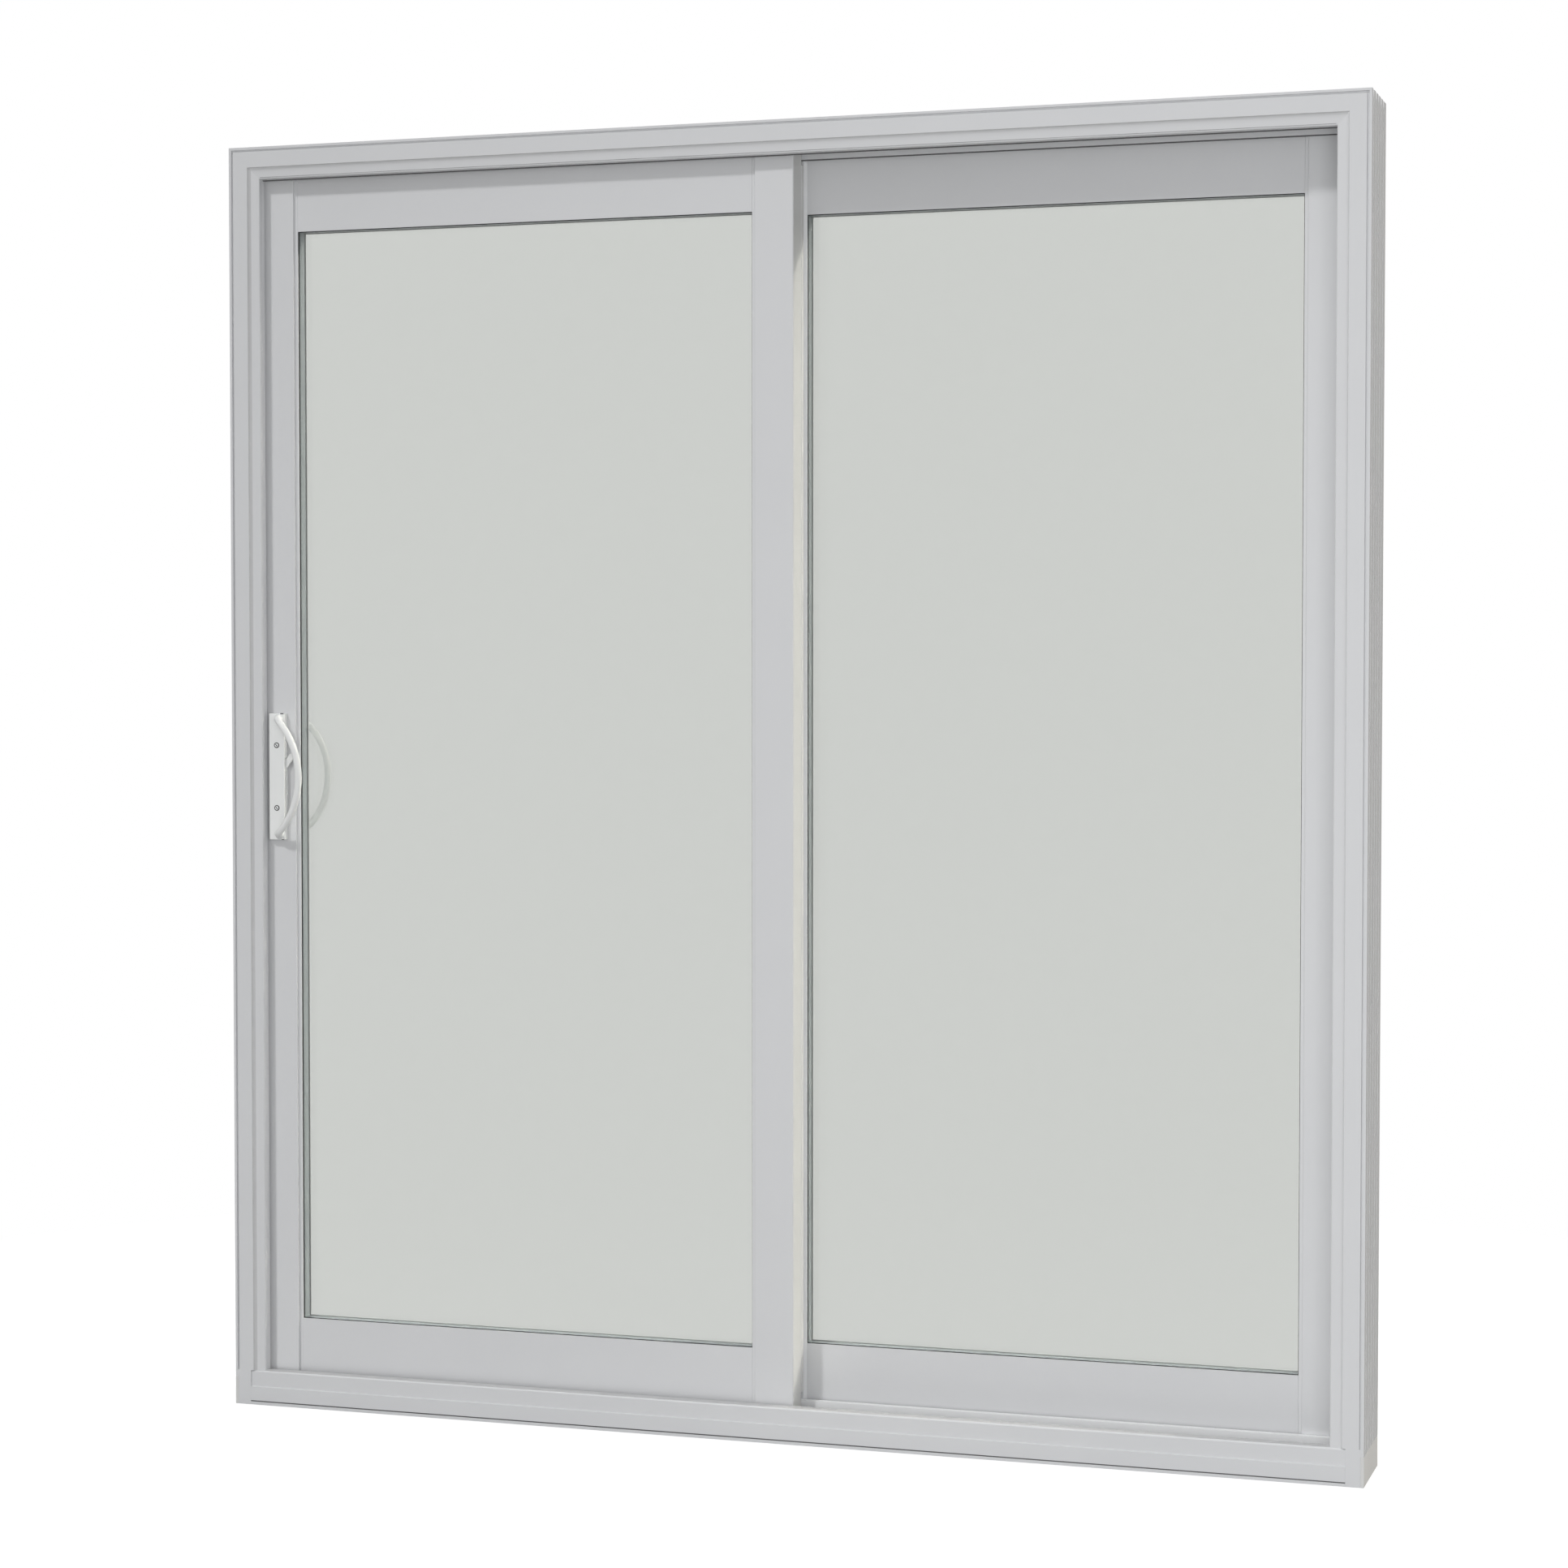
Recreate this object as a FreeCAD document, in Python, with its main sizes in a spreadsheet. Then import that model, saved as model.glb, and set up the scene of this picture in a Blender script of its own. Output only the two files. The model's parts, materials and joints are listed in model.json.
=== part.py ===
import FreeCAD, Part
import math
import os
import Sketcher

# Two-panel sliding patio door. +X runs along the door to the right, +Y from the room to the outside,
# +Z up, and the origin is the centre of the sill's underside.

doc = FreeCAD.newDocument("patio_door")
sheet = doc.addObject("Spreadsheet::Sheet", "Sizes")

SIZES = {
    "frame_width": 1816, "frame_height": 2019, "frame_depth": 146,
    "edge_strip": 4, "edge_groove": 3, "edge_groove_depth": 3,
    "face_width": 32, "step_slope": 1, "step_depth": 7,
    "lip_width": 51, "lip_front": 12, "lip_nose": 2, "web": 27,
    "groove_width": 9, "groove_depth": 5, "groove_first": 16.5, "groove_pitch": 26, "groove_count": 5,
    "sill_height": 55.5, "sill_ledge": 29, "sill_setback": 2, "sill_ledge_slope": 1, "sill_edge": 2,
    "sill_floor": 20, "sill_kick": 5, "kick_groove": 1.5, "sill_partition": 53, "sill_seat": 37.7,
    "sill_bead": 6, "sill_nose": 30, "sill_nose_run": 10,
    "cap_height": 45, "cap_thickness": 5,
    "fastener_radius": 2.6, "fastener_depth": 55.5, "fastener_end": 200, "fastener_spacing": 500,
    "slider_depth": 28, "fixed_depth": 86, "panel_thickness": 42, "panel_bottom": 38,
    "meeting_overlap": 65, "lock_gap": 6, "fixed_gap": 11,
    "lock_stile": 72, "meeting_stile": 67.7, "rail_height": 101,
    "ledge": 5.7, "ledge_depth": 4.4, "edge_chamfer": 1.5,
    "bite": 12, "pocket": 15, "glass": 4, "glazing": 25, "gasket": 1.5, "gasket_lip": 1, "spacer_bar": 11,
    "run_clearance": 5, "seat_clearance": 0.3, "overcut": 1,
    "pile_width": 4, "pile_root": 3, "pile_show": 1.2, "pile_setback": 3, "seal_setback": 4,
    "sill_seal_width": 3.5, "sill_seal_drop": 1,
    "track_width": 5, "track_height": 13, "roller_radius": 11, "roller_width": 6, "roller_inset": 120,
    "axle_radius": 3,
    "fin": 3, "fin_depth": 11, "fin_end": 28,
    "handle_height": 1015, "handle_inset": 38, "plate_width": 27, "plate_length": 203, "plate_thickness": 12,
    "plate_round": 1.5, "screw_spacing": 100.8, "screw_radius": 4, "screw_head": 1.5,
    "pull_reach": 43.5, "pull_stand": 23, "pull_radius": 5.4, "pull_foot": 7.5, "pull_end": 9.5,
    "pull_offset": 4, "pull_half_angle": 72,
    "lever_length": 44, "lever_width": 9, "lever_thickness": 3, "lever_hub": 5, "lever_tip": 4,
    "lever_rest_angle": 55, "slot_reach": 36.4, "slot_cover": 2,
    "keeper_length": 120, "keeper_width": 24, "keeper_thickness": 3,
    "faceplate_length": 160, "faceplate_width": 22, "faceplate_thickness": 2.5,
}


class Size:
    """A length that knows its value and the sheet formula behind it."""

    def __init__(self, value, formula):
        self.value = float(value)
        self.formula = formula

    def __add__(self, other):
        other = as_size(other)
        return Size(self.value + other.value, f"({self.formula} + {other.formula})")

    def __sub__(self, other):
        other = as_size(other)
        return Size(self.value - other.value, f"({self.formula} - {other.formula})")

    def __mul__(self, other):
        other = as_size(other)
        return Size(self.value * other.value, f"({self.formula} * {other.formula})")

    def __truediv__(self, other):
        other = as_size(other)
        return Size(self.value / other.value, f"({self.formula} / {other.formula})")

    def __radd__(self, other):
        return as_size(other) + self

    def __rsub__(self, other):
        return as_size(other) - self

    def __rmul__(self, other):
        return as_size(other) * self

    def __neg__(self):
        return Size(-self.value, f"(0 - {self.formula})")

    def shaped(self, function, name):
        """The result of a one-number function that the sheet knows by name."""
        return Size(function(self.value), f"{name}({self.formula})")


def as_size(number):
    return number if isinstance(number, Size) else Size(number, repr(float(number)))


def fill_sheet():
    """Writes the driving dimensions and returns them by name."""
    for row, (alias, value) in enumerate(SIZES.items(), start=1):
        sheet.set(f"A{row}", alias)
        sheet.set(f"B{row}", str(value))
        sheet.setAlias(f"B{row}", alias)
    doc.recompute()
    return {alias: Size(value, f"Sizes.{alias}") for alias, value in SIZES.items()}


S = fill_sheet()


def at_depth(depth):
    """Y of a depth measured from the frame's room face."""
    return depth - S["frame_depth"] / 2


def drive(obj, **formulas):
    """Binds properties, written with __ for a dot, to sheet formulas."""
    for name, size in formulas.items():
        obj.setExpression(name.replace("__", "."), as_size(size).formula)


def new_body(name):
    body = doc.addObject("PartDesign::Body", name)
    body.Label = name
    return body


def plane_of(body, role):
    return next(item for item in body.Origin.OriginFeatures if item.Role == role)


def new_sketch(body, name, role, offset):
    """An empty sketch on an origin plane of its body, moved along the plane's normal."""
    sketch = body.newObject("Sketcher::SketchObject", name)
    sketch.AttachmentSupport = (plane_of(body, role), [""])
    sketch.MapMode = "FlatFace"
    sketch.Visibility = False
    drive(sketch, AttachmentOffset__Base__z=offset)
    return sketch


def hold(sketch, size, *terms):
    """Adds a constraint whose value is a sheet formula."""
    number = sketch.addConstraint(Sketcher.Constraint(*terms, size.value))
    sketch.setExpression(f"Constraints[{number}]", size.formula)


def outline(body, name, role, *loops, offset=0):
    """Draws closed loops of corner points on an origin plane, every corner held by the sheet."""
    sketch = new_sketch(body, name, role, offset)
    for loop in loops:
        corners = [(as_size(a), as_size(b)) for a, b in loop]
        points = [FreeCAD.Vector(a.value, b.value, 0) for a, b in corners]
        first = sketch.GeometryCount
        count = len(points)
        for i in range(count):
            sketch.addGeometry(Part.LineSegment(points[i], points[(i + 1) % count]), False)
        for i in range(count):
            sketch.addConstraint(Sketcher.Constraint("Coincident", first + i, 2, first + (i + 1) % count, 1))
        for i, (a, b) in enumerate(corners):
            hold(sketch, a, "DistanceX", -1, 1, first + i, 1)
            hold(sketch, b, "DistanceY", -1, 1, first + i, 1)
    return sketch


def circles(body, name, role, centres, radius, offset=0):
    """Draws equal circles on an origin plane, every centre held by the sheet."""
    sketch = new_sketch(body, name, role, offset)
    for a, b in centres:
        centre = FreeCAD.Vector(a.value, b.value, 0)
        curve = sketch.addGeometry(Part.Circle(centre, FreeCAD.Vector(0, 0, 1), radius.value), False)
        hold(sketch, a, "DistanceX", -1, 1, curve, 3)
        hold(sketch, b, "DistanceY", -1, 1, curve, 3)
        hold(sketch, radius, "Radius", curve)
    return sketch


def rectangle(a0, a1, b0, b1):
    return [(a0, b0), (a1, b0), (a1, b1), (a0, b1)]


def pad(body, name, sketch, length, reverse=False):
    feature = body.newObject("PartDesign::Pad", name)
    feature.Profile = sketch
    feature.Reversed = reverse
    drive(feature, Length=length)
    doc.recompute()
    return feature


def pocket(body, name, sketch, length, reverse=False):
    """Cuts a sketch into the body and makes sure that it took material away."""
    before = body.Shape.Volume
    feature = body.newObject("PartDesign::Pocket", name)
    feature.Profile = sketch
    feature.Reversed = reverse
    drive(feature, Length=length)
    doc.recompute()
    if body.Shape.Volume > before - 1e-6:
        raise RuntimeError(f"{body.Label}: {name} cuts nothing")
    return feature


def soften(body, name, radius, chosen):
    """Rounds the edges whose middle point is chosen by a test."""
    last = body.Tip
    edges = [f"Edge{i}" for i, edge in enumerate(last.Shape.Edges, start=1) if chosen(edge.CenterOfMass)]
    feature = body.newObject("PartDesign::Fillet", name)
    feature.Base = (last, edges)
    drive(feature, Radius=radius)
    doc.recompute()
    return feature


def box(name, x0, x1, y0, y1, z0, z1):
    """A plain block between six sheet formulas."""
    block = doc.addObject("Part::Box", name)
    block.Label = name
    drive(block, Length=x1 - x0, Width=y1 - y0, Height=z1 - z0)
    drive(block, Placement__Base__x=x0, Placement__Base__y=y0, Placement__Base__z=z0)
    return block


HALF = S["frame_width"] / 2
TOP = S["frame_height"]
DEPTH = S["frame_depth"]
PANEL_WIDTH = (S["frame_width"] - 2 * S["web"] - S["lock_gap"] - S["fixed_gap"] + S["meeting_overlap"]) / 2
PANEL_HEIGHT = TOP - S["web"] - S["run_clearance"] - S["panel_bottom"]
TRACK_FRONT = S["slider_depth"] - S["run_clearance"]
TRACK_REAR = S["slider_depth"] + S["panel_thickness"] + S["run_clearance"]
FIXED_FRONT = S["fixed_depth"] - S["seat_clearance"]
FIXED_REAR = S["fixed_depth"] + S["panel_thickness"] + S["seat_clearance"]
PILE_FRONT = S["lip_front"] + S["lip_nose"] + S["pile_setback"]
SEAL_FRONT = TRACK_REAR + S["seal_setback"]
OVER = S["overcut"]
NIL = as_size(0)


def slit(front):
    """A slot in a lip's edge that holds the root of a strip, as (inward, depth) corners."""
    lip, root = S["lip_width"], S["lip_width"] - S["pile_root"]
    rear = front + S["pile_width"]
    return [(lip, front), (root, front), (root, rear), (lip, rear)]


def frame_profile(strips):
    """The frame extrusion as (inward, depth) corners: face, stepped band, lip and two panel channels."""
    lip, web = S["lip_width"], S["web"]
    face = [
        (NIL, NIL), (S["face_width"], NIL), (S["face_width"] + S["step_slope"], S["step_depth"]),
        (lip - S["lip_nose"], S["lip_front"]), (lip, S["lip_front"] + S["lip_nose"]),
    ]
    track = [(lip, TRACK_FRONT), (web, TRACK_FRONT), (web, TRACK_REAR), (lip, TRACK_REAR)]
    seat = [(lip, FIXED_FRONT), (web, FIXED_FRONT), (web, FIXED_REAR), (lip, FIXED_REAR)]
    rear = [(lip, DEPTH), (NIL, DEPTH)]
    if strips:
        return face + slit(PILE_FRONT) + track + slit(SEAL_FRONT) + seat + rear
    return face + track + seat + rear


def side_grooves():
    """Depths at which each groove of the ribbed outer side starts and ends."""
    half = S["groove_width"] / 2
    middles = [S["groove_first"] + i * S["groove_pitch"] for i in range(int(SIZES["groove_count"]))]
    return [(middle - half, middle + half) for middle in middles]


def jamb(name, side):
    """An upright of the frame, mitred at the head and coped over the sill. side is -1 left, +1 right."""
    body = new_body(name)

    def x_of(inward):
        return side * (HALF - inward)

    profile = [(x_of(u), at_depth(d)) for u, d in frame_profile(strips=False)]
    pad(body, name + "_pad", outline(body, name + "_profile", "XY_Plane", profile), TOP)
    out, floor = x_of(-OVER), x_of(S["groove_depth"])
    loops = [rectangle(out, floor, at_depth(a), at_depth(b)) for a, b in side_grooves()]
    cut = outline(body, name + "_groove_lines", "XY_Plane", *loops)
    pocket(body, name + "_grooves", cut, TOP, reverse=True)
    near, far = x_of(S["edge_strip"]), x_of(S["edge_strip"] + S["edge_groove"])
    line = rectangle(near, far, at_depth(-OVER), at_depth(S["edge_groove_depth"]))
    cut = outline(body, name + "_edge_line", "XY_Plane", line, offset=S["sill_height"])
    pocket(body, name + "_edge_groove", cut, TOP, reverse=True)
    over = S["lip_width"] + 10 * OVER
    mitre = [(x_of(NIL), TOP), (x_of(over), TOP), (x_of(over), TOP - over)]
    cut = outline(body, name + "_mitre_line", "XZ_Plane", mitre, offset=DEPTH / 2 + OVER)
    pocket(body, name + "_mitre", cut, DEPTH + 2 * OVER)
    cope = rectangle(x_of(S["web"]), x_of(over), -OVER, S["sill_height"])
    cut = outline(body, name + "_cope_line", "XZ_Plane", cope, offset=DEPTH / 2 + OVER)
    pocket(body, name + "_cope", cut, DEPTH + 2 * OVER)
    recess = rectangle(x_of(-OVER), x_of(S["cap_thickness"]), -OVER, S["cap_height"])
    cut = outline(body, name + "_cap_line", "XZ_Plane", recess, offset=DEPTH / 2 + OVER)
    pocket(body, name + "_cap_recess", cut, DEPTH + 2 * OVER)
    low, high, step = S["fastener_end"], TOP - S["fastener_end"], S["fastener_spacing"]
    holes = [(at_depth(S["fastener_depth"]), z) for z in (low, low + step, high - step, high)]
    start = -HALF - OVER if side < 0 else HALF - S["web"] - OVER
    cut = circles(body, name + "_fastener_circles", "YZ_Plane", holes, S["fastener_radius"], offset=start)
    pocket(body, name + "_fastener_holes", cut, S["web"] + 2 * OVER, reverse=True)
    return body


def keeper_recess(body):
    """A shallow seat for the lock keeper in the floor of the sliding channel."""
    middle = at_depth(S["slider_depth"] + S["panel_thickness"] / 2)
    half = S["keeper_width"] / 2
    floor = -(HALF - S["web"])
    low = S["handle_height"] - S["keeper_length"] / 2
    seat = rectangle(floor - S["keeper_thickness"], floor + OVER, middle - half, middle + half)
    pocket(body, "keeper_seat", outline(body, "keeper_seat_line", "XY_Plane", seat, offset=low),
           S["keeper_length"], reverse=True)


def head():
    """The top of the frame, mitred at both ends."""
    body = new_body("head")
    width = S["frame_width"]
    profile = [(at_depth(d), TOP - u) for u, d in frame_profile(strips=True)]
    pad(body, "head_pad", outline(body, "head_profile", "YZ_Plane", profile, offset=-HALF), width)
    floor = TOP - S["groove_depth"]
    loops = [rectangle(at_depth(a), at_depth(b), floor, TOP + OVER) for a, b in side_grooves()]
    strip = TOP - S["edge_strip"]
    front, deep = at_depth(-OVER), at_depth(S["edge_groove_depth"])
    loops.append(rectangle(front, deep, strip - S["edge_groove"], strip))
    cut = outline(body, "head_groove_lines", "YZ_Plane", *loops, offset=-HALF)
    pocket(body, "head_grooves", cut, width, reverse=True)
    over = S["lip_width"] + 10 * OVER
    low = TOP - over
    ends = [[(side * HALF, TOP), (side * HALF, low), (side * (HALF - over), low)] for side in (-1, 1)]
    cut = outline(body, "head_mitre_lines", "XZ_Plane", *ends, offset=DEPTH / 2 + OVER)
    pocket(body, "head_mitres", cut, DEPTH + 2 * OVER)
    return body


def sill():
    """The sill between the jambs: front upright in two bands, roller channel, partition and outer nose."""
    body = new_body("sill")
    kick, ledge, top, back = S["sill_kick"], S["sill_ledge"], S["sill_height"], S["sill_setback"]
    bead = S["sill_seat"] + S["sill_bead"]
    groove = kick + S["kick_groove"]
    front = [
        (NIL, NIL), (NIL, kick), (back, kick), (back, groove), (NIL, groove),
        (NIL, ledge), (back, ledge + S["sill_ledge_slope"]),
        (back, top - S["sill_edge"]), (back + S["sill_edge"], top),
    ]
    track = [(TRACK_FRONT, top), (TRACK_FRONT, S["sill_floor"]), (TRACK_REAR, S["sill_floor"])]
    seat = [
        (TRACK_REAR, S["sill_partition"]), (FIXED_FRONT, S["sill_partition"]), (FIXED_FRONT, S["sill_seat"]),
        (FIXED_REAR, S["sill_seat"]), (FIXED_REAR, bead), (DEPTH - S["sill_nose_run"], bead),
    ]
    nose = [(DEPTH, S["sill_nose"]), (DEPTH, NIL)]
    corners = [(at_depth(d), z) for d, z in front + track + seat + nose]
    width = S["frame_width"] - 2 * S["web"]
    pad(body, "sill_pad", outline(body, "sill_profile", "YZ_Plane", corners, offset=-(width / 2)), width)
    return body


def stile_profile(width, inner):
    """Stile corners as (from outer edge, depth in the panel): stepped inner edge and glazing groove."""
    thick, led, ldp, cham = S["panel_thickness"], S["ledge"], S["ledge_depth"], S["edge_chamfer"]
    front = (thick - S["glazing"]) / 2 - S["gasket"]
    rear = thick - front
    return [
        (NIL, cham), (cham, NIL), (width - led, NIL), (width - led, ldp), (width, ldp),
        (width, front), (width - inner, front), (width - inner, rear), (width, rear),
        (width, thick - ldp), (width - led, thick - ldp), (width - led, thick),
        (cham, thick), (NIL, thick - cham),
    ]


def stile(name, edge, side, width, depth):
    """An upright of a panel. edge is its outer X and side points from there to the glass."""
    body = new_body(name)
    corners = [(edge + side * u, at_depth(depth + d)) for u, d in stile_profile(width, S["pocket"])]
    pad(body, name + "_pad", outline(body, name + "_profile", "XY_Plane", corners, offset=S["panel_bottom"]),
        PANEL_HEIGHT)
    return body


def rail(name, x0, x1, edge, side, depth):
    """A cross piece of a panel between its stiles. edge is its outer Z and side points to the glass."""
    body = new_body(name)
    thick, ldp, high = S["panel_thickness"], S["ledge_depth"], S["rail_height"]
    front = (thick - S["glazing"]) / 2 - S["gasket"]
    rear = thick - front
    shape = [
        (ldp, NIL), (ldp, high), (front, high), (front, high - S["pocket"]), (rear, high - S["pocket"]),
        (rear, high), (thick - ldp, high), (thick - ldp, NIL),
    ]
    corners = [(at_depth(depth + d), edge + side * v) for d, v in shape]
    pad(body, name + "_pad", outline(body, name + "_profile", "YZ_Plane", corners, offset=x0), x1 - x0)
    return body


def ring(name, x0, x1, z0, z1, width, depth, thick):
    """A rectangular frame of one width, its front face at a depth."""
    body = new_body(name)
    outer = rectangle(x0, x1, z0, z1)
    inner = rectangle(x0 + width, x1 - width, z0 + width, z1 - width)
    sketch = outline(body, name + "_loops", "XZ_Plane", outer, inner, offset=-at_depth(depth))
    pad(body, name + "_pad", sketch, thick, reverse=True)
    return body


def glazed_panel(prefix, left, depth, left_stile, right_stile):
    """Stiles, rails and the sealed double glazing of one panel, from its left edge."""
    right = left + PANEL_WIDTH
    low = S["panel_bottom"]
    high = low + PANEL_HEIGHT
    day_l, day_r = left + left_stile[1], right - right_stile[1]
    day_b, day_t = low + S["rail_height"], high - S["rail_height"]
    parts = [
        stile(prefix + "_" + left_stile[0], left, 1, left_stile[1], depth),
        stile(prefix + "_" + right_stile[0], right, -1, right_stile[1], depth),
        rail(prefix + "_top_rail", day_l, day_r, high, -1, depth),
        rail(prefix + "_bottom_rail", day_l, day_r, low, 1, depth),
    ]
    bite, lip, glass = S["bite"], S["gasket_lip"], S["glass"]
    front = depth + (S["panel_thickness"] - S["glazing"]) / 2
    rear = front + S["glazing"]
    for pane, start in (("inner_pane", front), ("outer_pane", rear - glass)):
        parts.append(box(f"{prefix}_{pane}", day_l - bite, day_r + bite, at_depth(start),
                         at_depth(start + glass), day_b - bite, day_t + bite))
    bar = S["spacer_bar"]
    parts.append(ring(prefix + "_spacer", day_l - bar, day_r + bar, day_b - bar, day_t + bar,
                      bar, front + glass, S["glazing"] - 2 * glass))
    for gasket, start in (("inner_gasket", front - S["gasket"]), ("outer_gasket", rear)):
        parts.append(ring(f"{prefix}_{gasket}", day_l - bite, day_r + bite, day_b - bite, day_t + bite,
                          bite + lip, start, S["gasket"]))
    return parts


SLIDER_LEFT = -(HALF - S["web"] - S["lock_gap"])
SLIDER_RIGHT = SLIDER_LEFT + PANEL_WIDTH
FIXED_LEFT = HALF - S["web"] - S["fixed_gap"] - PANEL_WIDTH
TRACK_MIDDLE = at_depth(S["slider_depth"] + S["panel_thickness"] / 2)


def roller_channel(body):
    """A channel under the bottom rail that straddles the track and holds the rollers."""
    half = S["track_width"] / 2 + S["run_clearance"]
    low = S["panel_bottom"]
    high = low + S["roller_radius"] * 2
    channel = rectangle(TRACK_MIDDLE - half, TRACK_MIDDLE + half, low - OVER, high)
    sketch = outline(body, "roller_channel_line", "YZ_Plane", channel, offset=SLIDER_LEFT)
    pocket(body, "roller_channel", sketch, PANEL_WIDTH, reverse=True)


def roller(name, x):
    """A grooved-edge wheel on a short axle that ends at the walls of its channel."""
    body = new_body(name)
    half = S["track_width"] / 2 + S["run_clearance"]
    rim = S["roller_width"] / 2
    radius, axle = S["roller_radius"], S["axle_radius"]
    section = [(NIL, -half), (axle, -half), (axle, -rim), (radius, -rim), (radius, rim), (axle, rim),
               (axle, half), (NIL, half)]
    sketch = outline(body, name + "_section", "XY_Plane", section)
    turn = body.newObject("PartDesign::Revolution", name + "_turn")
    turn.Profile = sketch
    turn.ReferenceAxis = (sketch, ["V_Axis"])
    turn.Angle = 360
    height = S["sill_floor"] + S["track_height"] + S["seat_clearance"] + radius
    drive(body, Placement__Base__x=x, Placement__Base__y=TRACK_MIDDLE, Placement__Base__z=height)
    doc.recompute()
    return body


def faceplate_seat(body):
    """A shallow seat for the lock's faceplate in the closing edge of the lock stile."""
    half = S["faceplate_width"] / 2
    low = S["handle_height"] - S["faceplate_length"] / 2
    deep = SLIDER_LEFT + S["faceplate_thickness"]
    seat = rectangle(SLIDER_LEFT - OVER, deep, TRACK_MIDDLE - half, TRACK_MIDDLE + half)
    pocket(body, "faceplate_seat", outline(body, "faceplate_seat_line", "XY_Plane", seat, offset=low),
           S["faceplate_length"], reverse=True)


HANDLE_X = SLIDER_LEFT + S["handle_inset"]
HANDLE_Z = S["handle_height"]


def handle_plate(name, face, out):
    """The back plate of a handle: face is the panel face's Y and out points away from the panel."""
    half, length = S["plate_width"] / 2, S["plate_length"] / 2
    body = new_body(name)
    base = rectangle(HANDLE_X - half, HANDLE_X + half, HANDLE_Z - length, HANDLE_Z + length)
    sketch = outline(body, name + "_outline", "XZ_Plane", base, offset=-face)
    pad(body, name + "_pad", sketch, S["plate_thickness"], reverse=(out > 0))
    show = (face + out * S["plate_thickness"]).value
    soften(body, name + "_round", S["plate_round"], lambda middle: abs(middle.y - show) < 0.01)
    return body


def lever_slot(body, face):
    """A slot in the plate's side and back for the thumb lever to swing in."""
    half, reach = S["plate_width"] / 2, S["slot_reach"]
    hub = S["lever_hub"] + S["run_clearance"]
    slot = rectangle(HANDLE_X - hub, HANDLE_X + half + OVER, HANDLE_Z - reach, HANDLE_Z + reach)
    sketch = outline(body, "lever_slot_line", "XZ_Plane", slot, offset=-face)
    pocket(body, "lever_slot", sketch, S["plate_thickness"] - S["slot_cover"], reverse=True)


def turn_about(obj, prefix, axis, angle):
    """Turns a placement about an axis by a sheet formula in degrees."""
    spot = getattr(obj, prefix)
    spot.Rotation = FreeCAD.Rotation(axis, angle.value)
    setattr(obj, prefix, spot)
    obj.setExpression(prefix + ".Rotation.Angle", angle.formula)


def share_of_turn(part, function, name):
    """Sine, cosine or tangent at a part of the pull's half angle."""
    angle = S["pull_half_angle"] * part
    return Size(function(math.radians(angle.value)), f"{name}({angle.formula} * 1 deg)")


def arch(body, name, half):
    """A round bar lofted through circles square to an elliptic arc in the body's XZ plane."""
    tall = half / share_of_turn(1, math.sin, "sin")
    end = share_of_turn(1, math.cos, "cos")
    deep = S["pull_reach"] / (1 - end)
    steps = 3
    sections = []
    for i in range(-steps, steps + 1):
        part = abs(i) / steps
        side = 1 if i > 0 else -1
        sketch = circles(body, f"{name}_section_{i + steps}", "XY_Plane", [(NIL, NIL)], S["pull_radius"],
                         offset=side * tall * share_of_turn(part, math.sin, "sin"))
        drive(sketch, AttachmentOffset__Base__x=deep * (share_of_turn(part, math.cos, "cos") - end))
        if i != 0:
            slope = deep / tall * share_of_turn(part, math.tan, "tan")
            lean = slope.shaped(lambda share: math.degrees(math.atan(share)), "atan")
            turn_about(sketch, "AttachmentOffset", FreeCAD.Vector(0, -side, 0), lean)
        sections.append(sketch)
    loft = body.newObject("PartDesign::AdditiveLoft", name + "_loft")
    loft.Profile = sections[0]
    loft.Sections = sections[1:]
    doc.recompute()


def post(body, name, height, out):
    """A flared foot from the plate to one end of the arch, with a ball where they join."""
    ball = body.newObject("PartDesign::AdditiveSphere", name + "_ball")
    cone = body.newObject("PartDesign::AdditiveCone", name + "_cone")
    for feature in (ball, cone):
        feature.AttachmentSupport = (plane_of(body, "XZ_Plane"), [""])
        feature.MapMode = "FlatFace"
        drive(feature, AttachmentOffset__Base__y=height)
    drive(ball, Radius=S["pull_radius"])
    narrow, wide, stand = S["pull_radius"], S["pull_foot"], S["pull_stand"]
    if out < 0:
        drive(cone, AttachmentOffset__Base__z=-stand, Radius1=wide, Radius2=narrow, Height=stand)
    else:
        drive(cone, Radius1=narrow, Radius2=wide, Height=stand)
    doc.recompute()


def pull(name, face, out):
    """The arched pull: a round bar that stands on two flared feet and bows out over the glass."""
    body = new_body(name)
    half = S["plate_length"] / 2 - S["pull_end"]
    arch(body, name, half)
    post(body, name + "_upper", half, out)
    post(body, name + "_lower", -half, out)
    stand = S["plate_thickness"] + S["pull_stand"]
    drive(body, Placement__Base__x=HANDLE_X + S["pull_offset"], Placement__Base__y=face + out * stand,
          Placement__Base__z=HANDLE_Z)
    doc.recompute()
    return body


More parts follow.
